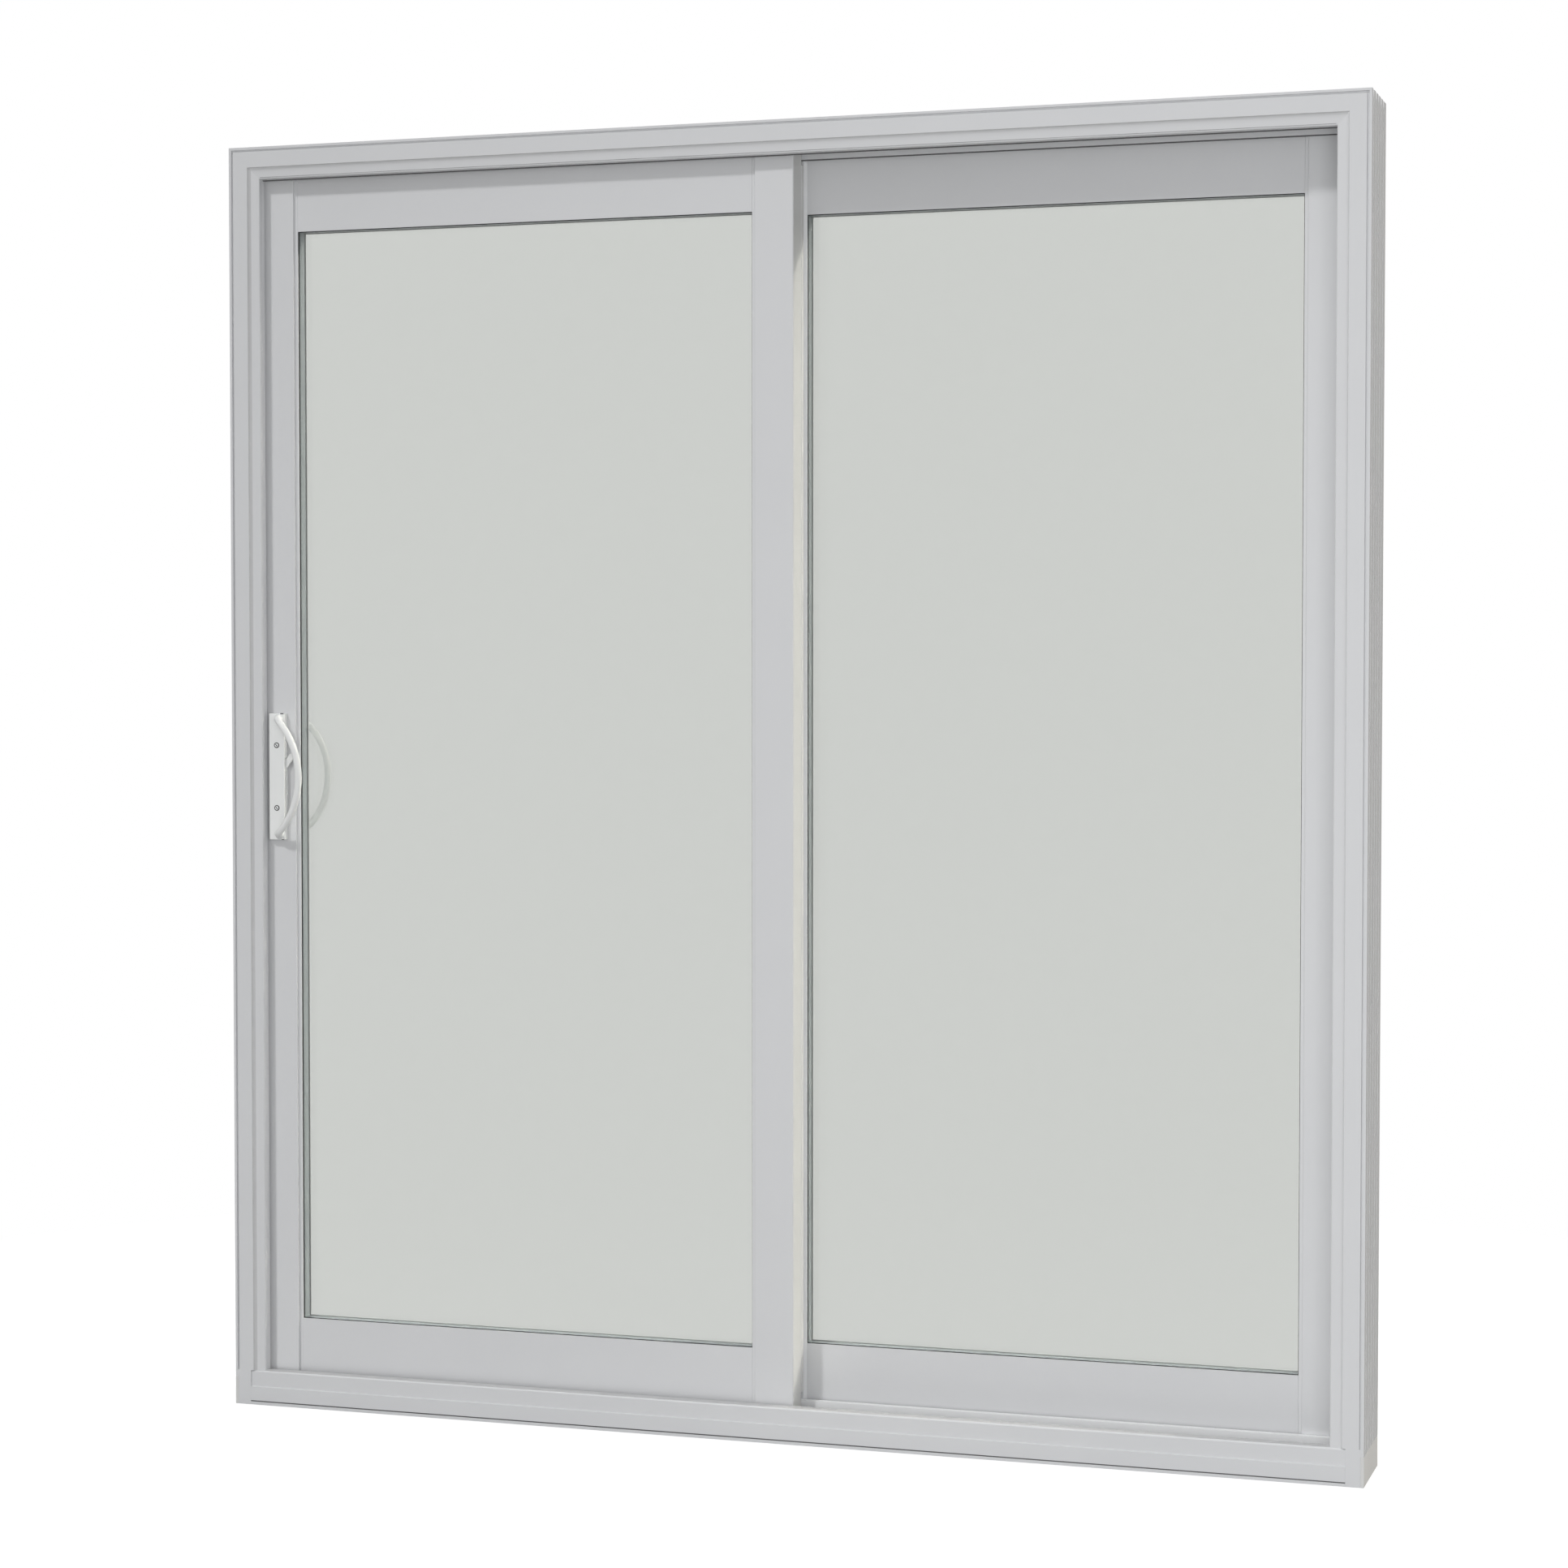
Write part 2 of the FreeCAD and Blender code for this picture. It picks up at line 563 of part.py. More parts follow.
def thumb_lever(face):
    """The thumb lever: a flat round-ended paddle on a round hub that turns in the plate's slot."""
    body = new_body("thumb_lever")
    deep = S["plate_thickness"] - S["slot_cover"]
    half, thick, length = S["lever_width"] / 2, S["lever_thickness"], S["lever_length"]
    paddle = rectangle(NIL, length, -half, half)
    pad(body, "lever_pad", outline(body, "lever_outline", "XZ_Plane", paddle, offset=-(thick / 2)), thick)
    soften(body, "lever_end", S["lever_tip"],
           lambda middle: abs(middle.x - length.value) < 0.01 and abs(abs(middle.z) - half.value) < 0.01)
    rise = deep - 2 * S["seat_clearance"]
    hub = circles(body, "lever_hub_circle", "XZ_Plane", [(NIL, NIL)], S["lever_hub"], offset=-(rise / 2))
    pad(body, "lever_hub_pad", hub, rise)
    turn_about(body, "Placement", FreeCAD.Vector(0, -1, 0), S["lever_rest_angle"])
    drive(body, Placement__Base__x=HANDLE_X, Placement__Base__y=face - deep / 2, Placement__Base__z=HANDLE_Z)
    doc.recompute()
    return body


def screws(name, face, out):
    """Two pan heads on the plate at the standard spacing."""
    heads = []
    for sign, place in ((-1, "lower"), (1, "upper")):
        screw = doc.addObject("Part::Cylinder", f"{name}_{place}")
        drive(screw, Radius=S["screw_radius"], Height=S["screw_head"])
        screw.Placement.Rotation = FreeCAD.Rotation(FreeCAD.Vector(1, 0, 0), -90 * out)
        drive(screw, Placement__Base__x=HANDLE_X, Placement__Base__y=face + out * S["plate_thickness"],
              Placement__Base__z=HANDLE_Z + sign * S["screw_spacing"] / 2)
        heads.append(screw)
    group = doc.addObject("Part::Compound", name)
    group.Label = name
    group.Links = heads
    return group


def frame_fittings():
    """Caps, strips, roller rail and lock keeper of the frame."""
    fittings = []
    front, rear, cap = at_depth(NIL), at_depth(DEPTH), S["cap_thickness"]
    for name, x0 in (("left_sill_cap", -HALF), ("right_sill_cap", HALF - cap)):
        fittings.append(box(name, x0, x0 + cap, front, rear, NIL, S["cap_height"]))
    lip, width = S["lip_width"], S["pile_width"]
    for name, front in (("head_pile", PILE_FRONT), ("fixed_head_seal", SEAL_FRONT)):
        fittings.append(box(name, -(HALF - lip), HALF - lip, at_depth(front), at_depth(front + width),
                            TOP - lip - S["pile_show"], TOP - lip + S["pile_root"]))
    left, right = FIXED_LEFT + S["meeting_stile"], FIXED_LEFT + PANEL_WIDTH - S["lock_stile"]
    fittings.append(box("fixed_sill_seal", left, right, at_depth(FIXED_FRONT),
                        at_depth(FIXED_FRONT + S["sill_seal_width"]), S["sill_seat"],
                        S["sill_partition"] - S["sill_seal_drop"]))
    half, run, floor = S["track_width"] / 2, HALF - S["web"], S["sill_floor"]
    fittings.append(box("roller_rail", -run, run, TRACK_MIDDLE - half, TRACK_MIDDLE + half, floor,
                        floor + S["track_height"]))
    half, tall = S["keeper_width"] / 2, S["keeper_length"] / 2
    fittings.append(box("lock_keeper", -run - S["keeper_thickness"], -run, TRACK_MIDDLE - half,
                        TRACK_MIDDLE + half, HANDLE_Z - tall, HANDLE_Z + tall))
    return fittings


def slider_fittings():
    """Interlock fin, lock faceplate and rollers of the sliding panel."""
    rear = S["slider_depth"] + S["panel_thickness"]
    low, high = S["panel_bottom"] + S["fin_end"], S["panel_bottom"] + PANEL_HEIGHT - S["fin_end"]
    half, tall = S["faceplate_width"] / 2, S["faceplate_length"] / 2
    return [
        box("slider_interlock_fin", SLIDER_RIGHT - S["fin"], SLIDER_RIGHT, at_depth(rear),
            at_depth(rear + S["fin_depth"]), low, high),
        box("lock_faceplate", SLIDER_LEFT, SLIDER_LEFT + S["faceplate_thickness"], TRACK_MIDDLE - half,
            TRACK_MIDDLE + half, HANDLE_Z - tall, HANDLE_Z + tall),
        roller("left_roller", SLIDER_LEFT + S["lock_stile"] + S["roller_inset"]),
        roller("right_roller", SLIDER_RIGHT - S["meeting_stile"] - S["roller_inset"]),
    ]


def handle_set():
    """Plates and pulls on both faces of the lock stile, with screws and the thumb lever in the room."""
    room, outside = at_depth(S["slider_depth"]), at_depth(S["slider_depth"] + S["panel_thickness"])
    inner = handle_plate("inner_handle_plate", room, -1)
    lever_slot(inner, room)
    outer = handle_plate("outer_handle_plate", outside, 1)
    return [
        inner, pull("inner_pull", room, -1), screws("inner_handle_screws", room, -1), thumb_lever(room),
        outer, pull("outer_pull", outside, 1),
    ]


def build():
    """Every node of the door."""
    left = jamb("left_jamb", -1)
    keeper_recess(left)
    nodes = [left, jamb("right_jamb", 1), head(), sill()] + frame_fittings()
    lock, meeting = ("lock_stile", S["lock_stile"]), ("meeting_stile", S["meeting_stile"])
    slider = glazed_panel("slider", SLIDER_LEFT, S["slider_depth"], lock, meeting)
    faceplate_seat(slider[0])
    roller_channel(slider[3])
    nodes += slider + slider_fittings()
    nodes += glazed_panel("fixed", FIXED_LEFT, S["fixed_depth"], meeting, ("jamb_stile", S["lock_stile"]))
    return nodes + handle_set()


def write(nodes):
    """Checks every object of the model, then writes one file for each node."""
    doc.recompute()
    for obj in doc.Objects:
        if "Invalid" in obj.State or "Error" in obj.State:
            raise RuntimeError(f"{obj.Label}: {obj.State}")
    os.makedirs("parts", exist_ok=True)
    for node in nodes:
        shape = node.Shape
        if shape.isNull() or not shape.isValid():
            raise RuntimeError(f"{node.Label}: bad shape")
        shape.exportStep(f"parts/{node.Label}.step")


write(build())
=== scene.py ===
# %% [markdown]
# # A white sliding patio door
#
# The door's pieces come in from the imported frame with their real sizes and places, in metres. This
# lesson gives every piece its finish, rounds the sharp corners that extruded vinyl never has, moulds
# the band around the opening, rebuilds the cast handles as smooth forms, and sets the light and the
# camera so that the door is seen as in the photograph.

# %% Load the frame
import json
import math
from collections import Counter

import bmesh
import bpy
from mathutils import Matrix, Vector


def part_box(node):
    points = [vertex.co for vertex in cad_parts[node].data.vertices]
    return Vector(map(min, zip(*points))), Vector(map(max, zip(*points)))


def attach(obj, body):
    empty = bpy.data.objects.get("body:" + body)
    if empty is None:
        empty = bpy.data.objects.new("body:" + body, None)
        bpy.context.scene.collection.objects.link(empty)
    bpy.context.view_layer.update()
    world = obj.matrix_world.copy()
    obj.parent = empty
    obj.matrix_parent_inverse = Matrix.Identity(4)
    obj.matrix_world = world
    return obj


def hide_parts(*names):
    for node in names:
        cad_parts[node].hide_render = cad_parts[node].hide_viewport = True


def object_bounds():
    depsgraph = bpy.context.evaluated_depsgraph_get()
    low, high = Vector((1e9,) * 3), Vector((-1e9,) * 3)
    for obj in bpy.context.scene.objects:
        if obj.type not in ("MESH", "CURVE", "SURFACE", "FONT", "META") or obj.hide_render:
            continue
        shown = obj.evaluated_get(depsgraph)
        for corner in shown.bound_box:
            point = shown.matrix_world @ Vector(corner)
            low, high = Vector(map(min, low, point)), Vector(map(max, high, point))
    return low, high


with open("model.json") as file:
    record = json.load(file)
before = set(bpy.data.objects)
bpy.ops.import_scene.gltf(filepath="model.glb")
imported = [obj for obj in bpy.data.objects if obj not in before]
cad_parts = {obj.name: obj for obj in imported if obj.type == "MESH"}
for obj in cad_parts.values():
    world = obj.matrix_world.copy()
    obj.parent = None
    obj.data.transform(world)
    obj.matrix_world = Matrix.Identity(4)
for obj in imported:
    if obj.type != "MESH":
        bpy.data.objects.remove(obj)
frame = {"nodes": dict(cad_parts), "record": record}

low_before, high_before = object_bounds()
nodes = frame["nodes"]
HALF_WIDTH, TOP = high_before[0], high_before[2]
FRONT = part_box("head")[0][1]
print("box before", [round(v, 4) for v in low_before], [round(v, 4) for v in high_before])
for name, obj in sorted(nodes.items()):
    print(name, len(obj.data.vertices), len(obj.data.polygons))

# %% [markdown]
# ## Shader effects shared by several finishes
#
# Extruded vinyl has faint draw lines along its length and a slow, cloudy change of tone. Both could
# be painted on an image, but an image has a fixed size and shows where it repeats. Noise in each
# piece's own coordinates has neither fault. Each effect is a small node group that puts out only a
# value or a normal, so that each material decides what to do with it.

# %% Node group helper
def new_group(name, inputs, outputs):
    """An empty shader node group with named sockets, and its input and output nodes."""
    tree = bpy.data.node_groups.new(name, "ShaderNodeTree")
    for label, kind, value in inputs:
        socket = tree.interface.new_socket(name=label, in_out="INPUT", socket_type=kind)
        socket.default_value = value
    for label, kind in outputs:
        tree.interface.new_socket(name=label, in_out="OUTPUT", socket_type=kind)
    return tree, tree.nodes.new("NodeGroupInput"), tree.nodes.new("NodeGroupOutput")


# %% Cloudy tone
def make_cloud_group():
    """A slow, cloudy value from 0 to 1 in a piece's own coordinates."""
    tree, source, result = new_group(
        "cloudy_tone",
        [("Scale", "NodeSocketFloat", 6.0), ("Detail", "NodeSocketFloat", 4.0)],
        [("Value", "NodeSocketFloat")],
    )
    coords = tree.nodes.new("ShaderNodeTexCoord")
    noise = tree.nodes.new("ShaderNodeTexNoise")
    tree.links.new(coords.outputs["Object"], noise.inputs["Vector"])
    tree.links.new(source.outputs["Scale"], noise.inputs["Scale"])
    tree.links.new(source.outputs["Detail"], noise.inputs["Detail"])
    tree.links.new(noise.outputs["Fac"], result.inputs["Value"])
    return tree


CLOUD = make_cloud_group()
print("group", CLOUD.name, "with", len(CLOUD.nodes), "nodes")

# %% Draw lines
LINE_HEIGHT = 0.0002


def make_draw_line_group():
    """Fine lines along the extrusion: noise squeezed along one axis by a vector of scales."""
    tree, source, result = new_group(
        "draw_lines",
        [("Stretch", "NodeSocketVector", (400.0, 400.0, 1.5)), ("Strength", "NodeSocketFloat", 0.1)],
        [("Value", "NodeSocketFloat"), ("Normal", "NodeSocketVector")],
    )
    coords = tree.nodes.new("ShaderNodeTexCoord")
    scale = tree.nodes.new("ShaderNodeVectorMath")
    scale.operation = "MULTIPLY"
    noise = tree.nodes.new("ShaderNodeTexNoise")
    noise.inputs["Scale"].default_value = 1.0
    noise.inputs["Detail"].default_value = 2.0
    bump = tree.nodes.new("ShaderNodeBump")
    bump.inputs["Distance"].default_value = LINE_HEIGHT
    tree.links.new(coords.outputs["Object"], scale.inputs[0])
    tree.links.new(source.outputs["Stretch"], scale.inputs[1])
    tree.links.new(scale.outputs["Vector"], noise.inputs["Vector"])
    tree.links.new(noise.outputs["Fac"], bump.inputs["Height"])
    tree.links.new(source.outputs["Strength"], bump.inputs["Strength"])
    tree.links.new(noise.outputs["Fac"], result.inputs["Value"])
    tree.links.new(bump.outputs["Normal"], result.inputs["Normal"])
    return tree


LINES = make_draw_line_group()
print("group", LINES.name, "with", len(LINES.nodes), "nodes")

# %% [markdown]
# ## From effects to finishes
#
# A finish is one Principled shader with both effects plugged in. The cloudy value moves the base
# colour between a dark and a light tone that lie close together. The draw lines break up the sheen
# and tilt the normal a little. Four small helpers do the wiring, so that a finish can be written as
# one row of numbers.

# %% Material helpers
def new_material(name, color, roughness, metallic=0.0):
    """A material with a plain Principled shader, and the shader itself."""
    mat = bpy.data.materials.new(name)
    mat.use_nodes = True
    shader = mat.node_tree.nodes["Principled BSDF"]
    shader.inputs["Base Color"].default_value = (*color, 1.0)
    shader.inputs["Roughness"].default_value = roughness
    shader.inputs["Metallic"].default_value = metallic
    return mat, shader


def add_group(mat, tree, **values):
    """Places a shared effect in a material with values of its own."""
    node = mat.node_tree.nodes.new("ShaderNodeGroup")
    node.node_tree = tree
    for label, value in values.items():
        node.inputs[label].default_value = value
    return node


def tint_by(mat, shader, value_socket, dark, light):
    """Base colour runs from dark to light with a value."""
    mix = mat.node_tree.nodes.new("ShaderNodeMix")
    mix.data_type = "RGBA"
    mix.inputs["A"].default_value = (*dark, 1.0)
    mix.inputs["B"].default_value = (*light, 1.0)
    mat.node_tree.links.new(value_socket, mix.inputs["Factor"])
    mat.node_tree.links.new(mix.outputs["Result"], shader.inputs["Base Color"])


def range_to(mat, value_socket, socket, low, high):
    """A value from 0 to 1 drives a shader socket between two numbers."""
    span = mat.node_tree.nodes.new("ShaderNodeMapRange")
    span.inputs["To Min"].default_value = low
    span.inputs["To Max"].default_value = high
    mat.node_tree.links.new(value_socket, span.inputs["Value"])
    mat.node_tree.links.new(span.outputs["Result"], socket)


# %% [markdown]
# ## Vinyl, enamel, rubber, metal, and painted light and shade
#
# The vinyl is a cool white with a soft sheen, and its tone changes by a few percent over a hand's
# width. Uprights are drawn along Z and cross pieces along X, so there are two vinyls with the lines
# turned. Faces that meet the wall are duller and darker, and the top of the sill is darker, both by
# painted shade; other rows are paler copies that stand for painted light. The handles are enamelled
# metal, brighter than the vinyl. Each row of the table gives a finish its dark and light tone,
# roughness, size of the clouds, direction of the lines and their strength, and then how metallic it
# is, the detail of the clouds and the spread of the sheen where these differ.

# %% One finish for each row of the table
ALONG_Z = (500.0, 500.0, 2.0)
ALONG_X = (2.0, 500.0, 500.0)
EVEN = (900.0, 900.0, 900.0)
VINYL_DARK, VINYL_LIGHT = (0.697, 0.702, 0.712), (0.72, 0.725, 0.735)
FINISHES = {
    "vinyl_upright": (VINYL_DARK, VINYL_LIGHT, 0.39, 9.0, ALONG_Z, 0.06, 0.0, 4.0, 0.05),
    "vinyl_cross": (VINYL_DARK, VINYL_LIGHT, 0.39, 9.0, ALONG_X, 0.06, 0.0, 4.0, 0.05),
    # Painted shade: a darker copy of the vinyl for the sides that go into the wall.
    "side_shade_vinyl": ((0.40, 0.40, 0.40), (0.43, 0.43, 0.43), 0.5, 9.0, ALONG_Z, 0.1),
    # Painted shade: a darker copy of the vinyl for the sill's top and the band's hollow.
    "painted_shade_vinyl": ((0.56, 0.56, 0.565), (0.61, 0.61, 0.615), 0.5, 40.0, ALONG_X, 0.15),
    # Painted warm light and shade: a darker, warmer copy of the vinyl for the sliding stile's side.
    "warm_light_vinyl": ((0.68, 0.68, 0.667), (0.71, 0.71, 0.697), 0.45, 9.0, ALONG_Z, 0.06),
    # Painted light: a paler copy of the vinyl for groove walls, a ledge and the sill's partition.
    "painted_light_vinyl": ((0.90, 0.905, 0.91), (0.94, 0.945, 0.95), 0.4, 20.0, ALONG_X, 0.06),
    "cap_plastic": ((0.69, 0.69, 0.68), (0.72, 0.72, 0.71), 0.5, 12.0, EVEN, 0.1),
    # Painted shade: a darker, warmer copy of the caps' plastic for their sides.
    "side_shade_cap": ((0.57, 0.565, 0.545), (0.61, 0.605, 0.585), 0.55, 12.0, EVEN, 0.1),
    "white_enamel": ((0.84, 0.85, 0.84), (0.88, 0.89, 0.88), 0.38, 20.0, EVEN, 0.02),
    # Painted light: a paler copy of the enamel for the outside handle, which also glows.
    "painted_light_enamel": ((0.92, 0.93, 0.92), (0.95, 0.96, 0.95), 0.4, 20.0, EVEN, 0.02),
    "black_rubber": ((0.012, 0.013, 0.013), (0.03, 0.031, 0.03), 0.6, 60.0, EVEN, 0.2),
    "grey_rubber": ((0.64, 0.655, 0.65), (0.70, 0.715, 0.71), 0.6, 60.0, EVEN, 0.2),
    "black_pile": ((0.09, 0.09, 0.092), (0.15, 0.15, 0.153), 0.9, 300.0, EVEN, 0.8),
    "grey_spacer": ((0.28, 0.312, 0.322), (0.33, 0.365, 0.375), 0.4, 80.0, EVEN, 0.1),
    "rail_aluminium": ((0.62, 0.63, 0.64), (0.72, 0.73, 0.74), 0.35, 30.0, ALONG_X, 0.15, 1.0),
    "bright_steel": ((0.55, 0.55, 0.55), (0.66, 0.66, 0.66), 0.3, 40.0, ALONG_Z, 0.15, 1.0),
    "roller_nylon": ((0.08, 0.08, 0.085), (0.13, 0.13, 0.135), 0.5, 50.0, EVEN, 0.1),
    "seam_shadow": ((0.02, 0.02, 0.021), (0.05, 0.05, 0.052), 0.7, 90.0, EVEN, 0.1),
    # Painted shade: the shadow inside the fine groove along the head.
    "groove_shade_line": ((0.05, 0.05, 0.052), (0.60, 0.60, 0.605), 0.6, 25.0, ALONG_X, 0.1),
    # Painted shade: the shadow inside the groove at the sill's foot.
    "kick_groove_shade": ((0.19, 0.19, 0.192), (0.27, 0.27, 0.275), 0.7, 60.0, ALONG_X, 0.1),
    # Painted shade: a dark track that stands for the shade in the sill's channel and throws little light
    # back up.
    "track_shade": ((0.10, 0.10, 0.098), (0.17, 0.17, 0.165), 0.8, 40.0, ALONG_X, 0.3),
}


def flecked(name, dark, light, roughness, scale, stretch, strength,
            metallic=0.0, detail=5.0, spread=0.06):
    """A finish with a cloudy tone, a broken sheen and fine lines or grain."""
    mat, shader = new_material(name, light, roughness, metallic)
    cloud = add_group(mat, CLOUD, Scale=scale, Detail=detail)
    lines = add_group(mat, LINES, Stretch=stretch, Strength=strength)
    tint_by(mat, shader, cloud.outputs["Value"], dark, light)
    sheen = shader.inputs["Roughness"]
    range_to(mat, lines.outputs["Value"], sheen, roughness - spread, roughness + spread)
    mat.node_tree.links.new(lines.outputs["Normal"], shader.inputs["Normal"])
    return mat


MATERIALS = {name: flecked(name, *values) for name, values in FINISHES.items()}
print("finishes", len(MATERIALS))

# %% [markdown]
# ## The outside handle's enamel
#
# The outside pull is seen through two tinted panes, which take away part of its light, yet the
# photograph shows it almost as pale as the glass around it. A brighter lamp would spoil the rest of
# the door. Its enamel is painted light instead: a paler copy of the room side's enamel with a faint,
# cool glow, which makes up for what the panes take away.

# %% Give the outside enamel its glow
OUTSIDE_GLOW = 0.16
glowing = MATERIALS["painted_light_enamel"].node_tree.nodes["Principled BSDF"]
glowing.inputs["Emission Color"].default_value = (0.88, 0.92, 1.0, 1.0)
glowing.inputs["Emission Strength"].default_value = OUTSIDE_GLOW
print("glow", OUTSIDE_GLOW)

# %% [markdown]
# ## Glass
#
# Float glass is clear with a faint green-grey tint. A Principled shader with full transmission bends
# and mirrors the view as the panes do, but it would throw a dark shadow, because shadow rays can't
# bend. So the material turns plainly transparent, with a slight tint, for shadow rays alone.

# %% Glass that lets light through
def mix_shaders(tree, factor, first, second):
    """Blends two shaders by a factor; all three are sockets."""
    mix = tree.nodes.new("ShaderNodeMixShader")
    for socket, source in zip(mix.inputs, (factor, first, second)):
        tree.links.new(source, socket)
    return mix.outputs["Shader"]


def glass():
    """Float glass with a faint tint, open to shadow rays so that light falls through it."""
    mat, shader = new_material("clear_glass", (0.767, 0.777, 0.762), 0.0)
    shader.inputs["Transmission Weight"].default_value = 1.0
    shader.inputs["IOR"].default_value = 1.45
    cloud = add_group(mat, CLOUD, Scale=1.5, Detail=1.0)
    tint_by(mat, shader, cloud.outputs["Value"], (0.765, 0.775, 0.760), (0.769, 0.779, 0.764))
    tree = mat.node_tree
    path = tree.nodes.new("ShaderNodeLightPath")
    clear = tree.nodes.new("ShaderNodeBsdfTransparent")
    clear.inputs["Color"].default_value = (0.955, 0.96, 0.955, 1.0)
    shadow = path.outputs["Is Shadow Ray"]
    both = mix_shaders(tree, shadow, shader.outputs["BSDF"], clear.outputs["BSDF"])
    tree.links.new(both, tree.nodes["Material Output"].inputs["Surface"])
    return mat


MATERIALS["clear_glass"] = glass()
print("materials", sorted(MATERIALS))

# %% [markdown]
# ## Rounded edges
#
# A die leaves no sharp corner, and the light on the small roundings draws the thin bright lines along
# the sill. Each face of the frame comes in with corners of its own, so the mesh is welded first and
# then bevelled. Where two lengths are cut to meet, as at the mitres, the cut edges stay sharp: there
# the bevel follows weights, and only long outline edges away from the cut get one.

# %% Round the edges that a die would round
WELD_GAP = 0.00002
ROUND_FROM = math.radians(25.0)
JOINT_GAP = 0.0002
SHORT_EDGE = 0.015


def round_edges(obj, width):
    weld = obj.modifiers.new("weld", "WELD")
    weld.merge_threshold = WELD_GAP
    bevel = obj.modifiers.new("round", "BEVEL")
    bevel.width = width
    bevel.segments = 2
    bevel.limit_method = "ANGLE"
    bevel.angle_limit = ROUND_FROM
    bevel.harden_normals = True
    return bevel


def on_mitre(point):
    return abs((HALF_WIDTH - abs(point.x)) - (TOP - point.z)) < JOINT_GAP


def on_sill_end(point):
    return abs(abs(point.x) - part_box("sill")[1][0]) < JOINT_GAP


def mark_long_edges(obj, on_joint):
    """Weights the outline edges of every flat face, leaving out short ends and the edges of a joint."""
    mesh = obj.data
    uses = Counter(key for face in mesh.polygons for key in face.edge_keys)
    weights = mesh.attributes.new("bevel_weight_edge", "FLOAT", "EDGE")
    marked = 0
    for edge in mesh.edges:
        start, end = [obj.matrix_world @ mesh.vertices[i].co for i in edge.vertices]
        joint = start.x * end.x > 0.0 and on_joint(start) and on_joint(end)
        if joint or uses[edge.key] > 1 or (end - start).length < SHORT_EDGE:
            continue
        weights.data[edge.index].value = 1.0
        marked += 1
    return marked


# %% [markdown]
# ## Dressing the frame and the panels
#
# Every node takes the finish of its slot in the record. The vinyl turns its draw lines with the
# piece, and the outer gaskets are pale rubber, because no dark line shows on that side of the glass.

# %% Give each node its finish
CROSS = ("head", "sill", "slider_top_rail", "slider_bottom_rail", "fixed_top_rail", "fixed_bottom_rail")
ROUND = {"white_vinyl": 0.0006, "cap_plastic": 0.0006, "rail_aluminium": 0.0004, "bright_steel": 0.0003}
JOINTS = {"head": on_mitre, "left_jamb": on_mitre, "right_jamb": on_mitre, "sill": on_sill_end}
SLOT_OF = {row["node"]: row["material_slot"] for row in frame["record"]["subparts"]}


def finish_of(name):
    if name.endswith("outer_gasket"):
        return "grey_rubber"
    if SLOT_OF[name] == "white_vinyl":
        return "vinyl_cross" if name in CROSS else "vinyl_upright"
    return SLOT_OF[name]


def dress(name, obj):
    obj.data.materials.clear()
    obj.data.materials.append(MATERIALS[finish_of(name)])
    slot = SLOT_OF[name]
    if slot not in ROUND:
        return
    bevel = round_edges(obj, ROUND[slot])
    if name in JOINTS:
        bevel.limit_method = "WEIGHT"
        print(name, "rounded edges", mark_long_edges(obj, JOINTS[name]))


for name, obj in nodes.items():
    dress(name, obj)
print("dressed", len(nodes))

# %% [markdown]
# ## Faces with a finish of their own
#
# Some faces of a length look different from the rest, and their tones are painted light or shade. The
# ribbed sides that go into the wall take a duller and darker copy of the vinyl, whose darkness is
# painted shade, and the front walls of their grooves a paler copy, painted light. One meeting stile's
# ledge takes the same painted light, and the other stile's edge a darker, warmer copy that stands in
# for the warm light falling on it. The sill takes painted shade on its top, in its track and in the
# groove at its foot, and painted light on its partition. Splitting the pieces would add seams that the
# door lacks. A second material on chosen faces does it, and a test of each face's centre and direction
# does the choosing.

# %% Pick faces by a test
FACING = 0.9


def second_finish(obj, key, chosen):
    """Gives the faces picked by a test another finish, and returns how many there were."""
    obj.data.materials.append(MATERIALS[key])
    index = len(obj.data.materials) - 1
    turn = obj.matrix_world.to_3x3()
    count = 0
    for face in obj.data.polygons:
        if chosen(obj.matrix_world @ face.center, turn @ face.normal):
            face.material_index = index
            count += 1
    return count


# %% Sides that go into the wall
WALL_SKIN = 0.0055
GROOVE_SKIN = 0.0045
FACE_SKIN = 0.003
# Painted shade: the sides that go into the wall take darker copies of their finish.
SHADED_SIDES = {"left_jamb": "side_shade_vinyl", "right_jamb": "side_shade_vinyl", "head": "side_shade_vinyl",
        "left_sill_cap": "side_shade_cap", "right_sill_cap": "side_shade_cap"}


def in_the_wall(centre, normal):
    beside = abs(centre.x) > HALF_WIDTH - WALL_SKIN
    outward = abs(normal.x) > FACING and centre.x * normal.x > 0.0
    above = centre.z > TOP - WALL_SKIN and normal.z > FACING
    return (beside and outward) or above


def in_the_grooves(centre, normal):
    beside = abs(centre.x) > HALF_WIDTH - GROOVE_SKIN
    return beside and normal.y < -FACING and centre.y > FRONT + FACE_SKIN


shaded_faces = {name: second_finish(nodes[name], key, in_the_wall) for name, key in SHADED_SIDES.items()}
# Painted light: the front walls of the grooves take the paler vinyl.
grooves = [second_finish(nodes[name], "painted_light_vinyl", in_the_grooves)
           for name in ("left_jamb", "right_jamb")]
print("dull faces", shaded_faces, "groove walls", grooves)

# %% Faces of the meeting stiles
INTERLOCK_SIDE = 0.029
LEDGE_SIDE, LEDGE_FACE = 0.026, 0.0165


def on_the_interlock(centre, normal):
    return normal.x > FACING and centre.x > INTERLOCK_SIDE


def on_the_ledge(centre, normal):
    return normal.y < -FACING and centre.y > LEDGE_FACE and centre.x > LEDGE_SIDE


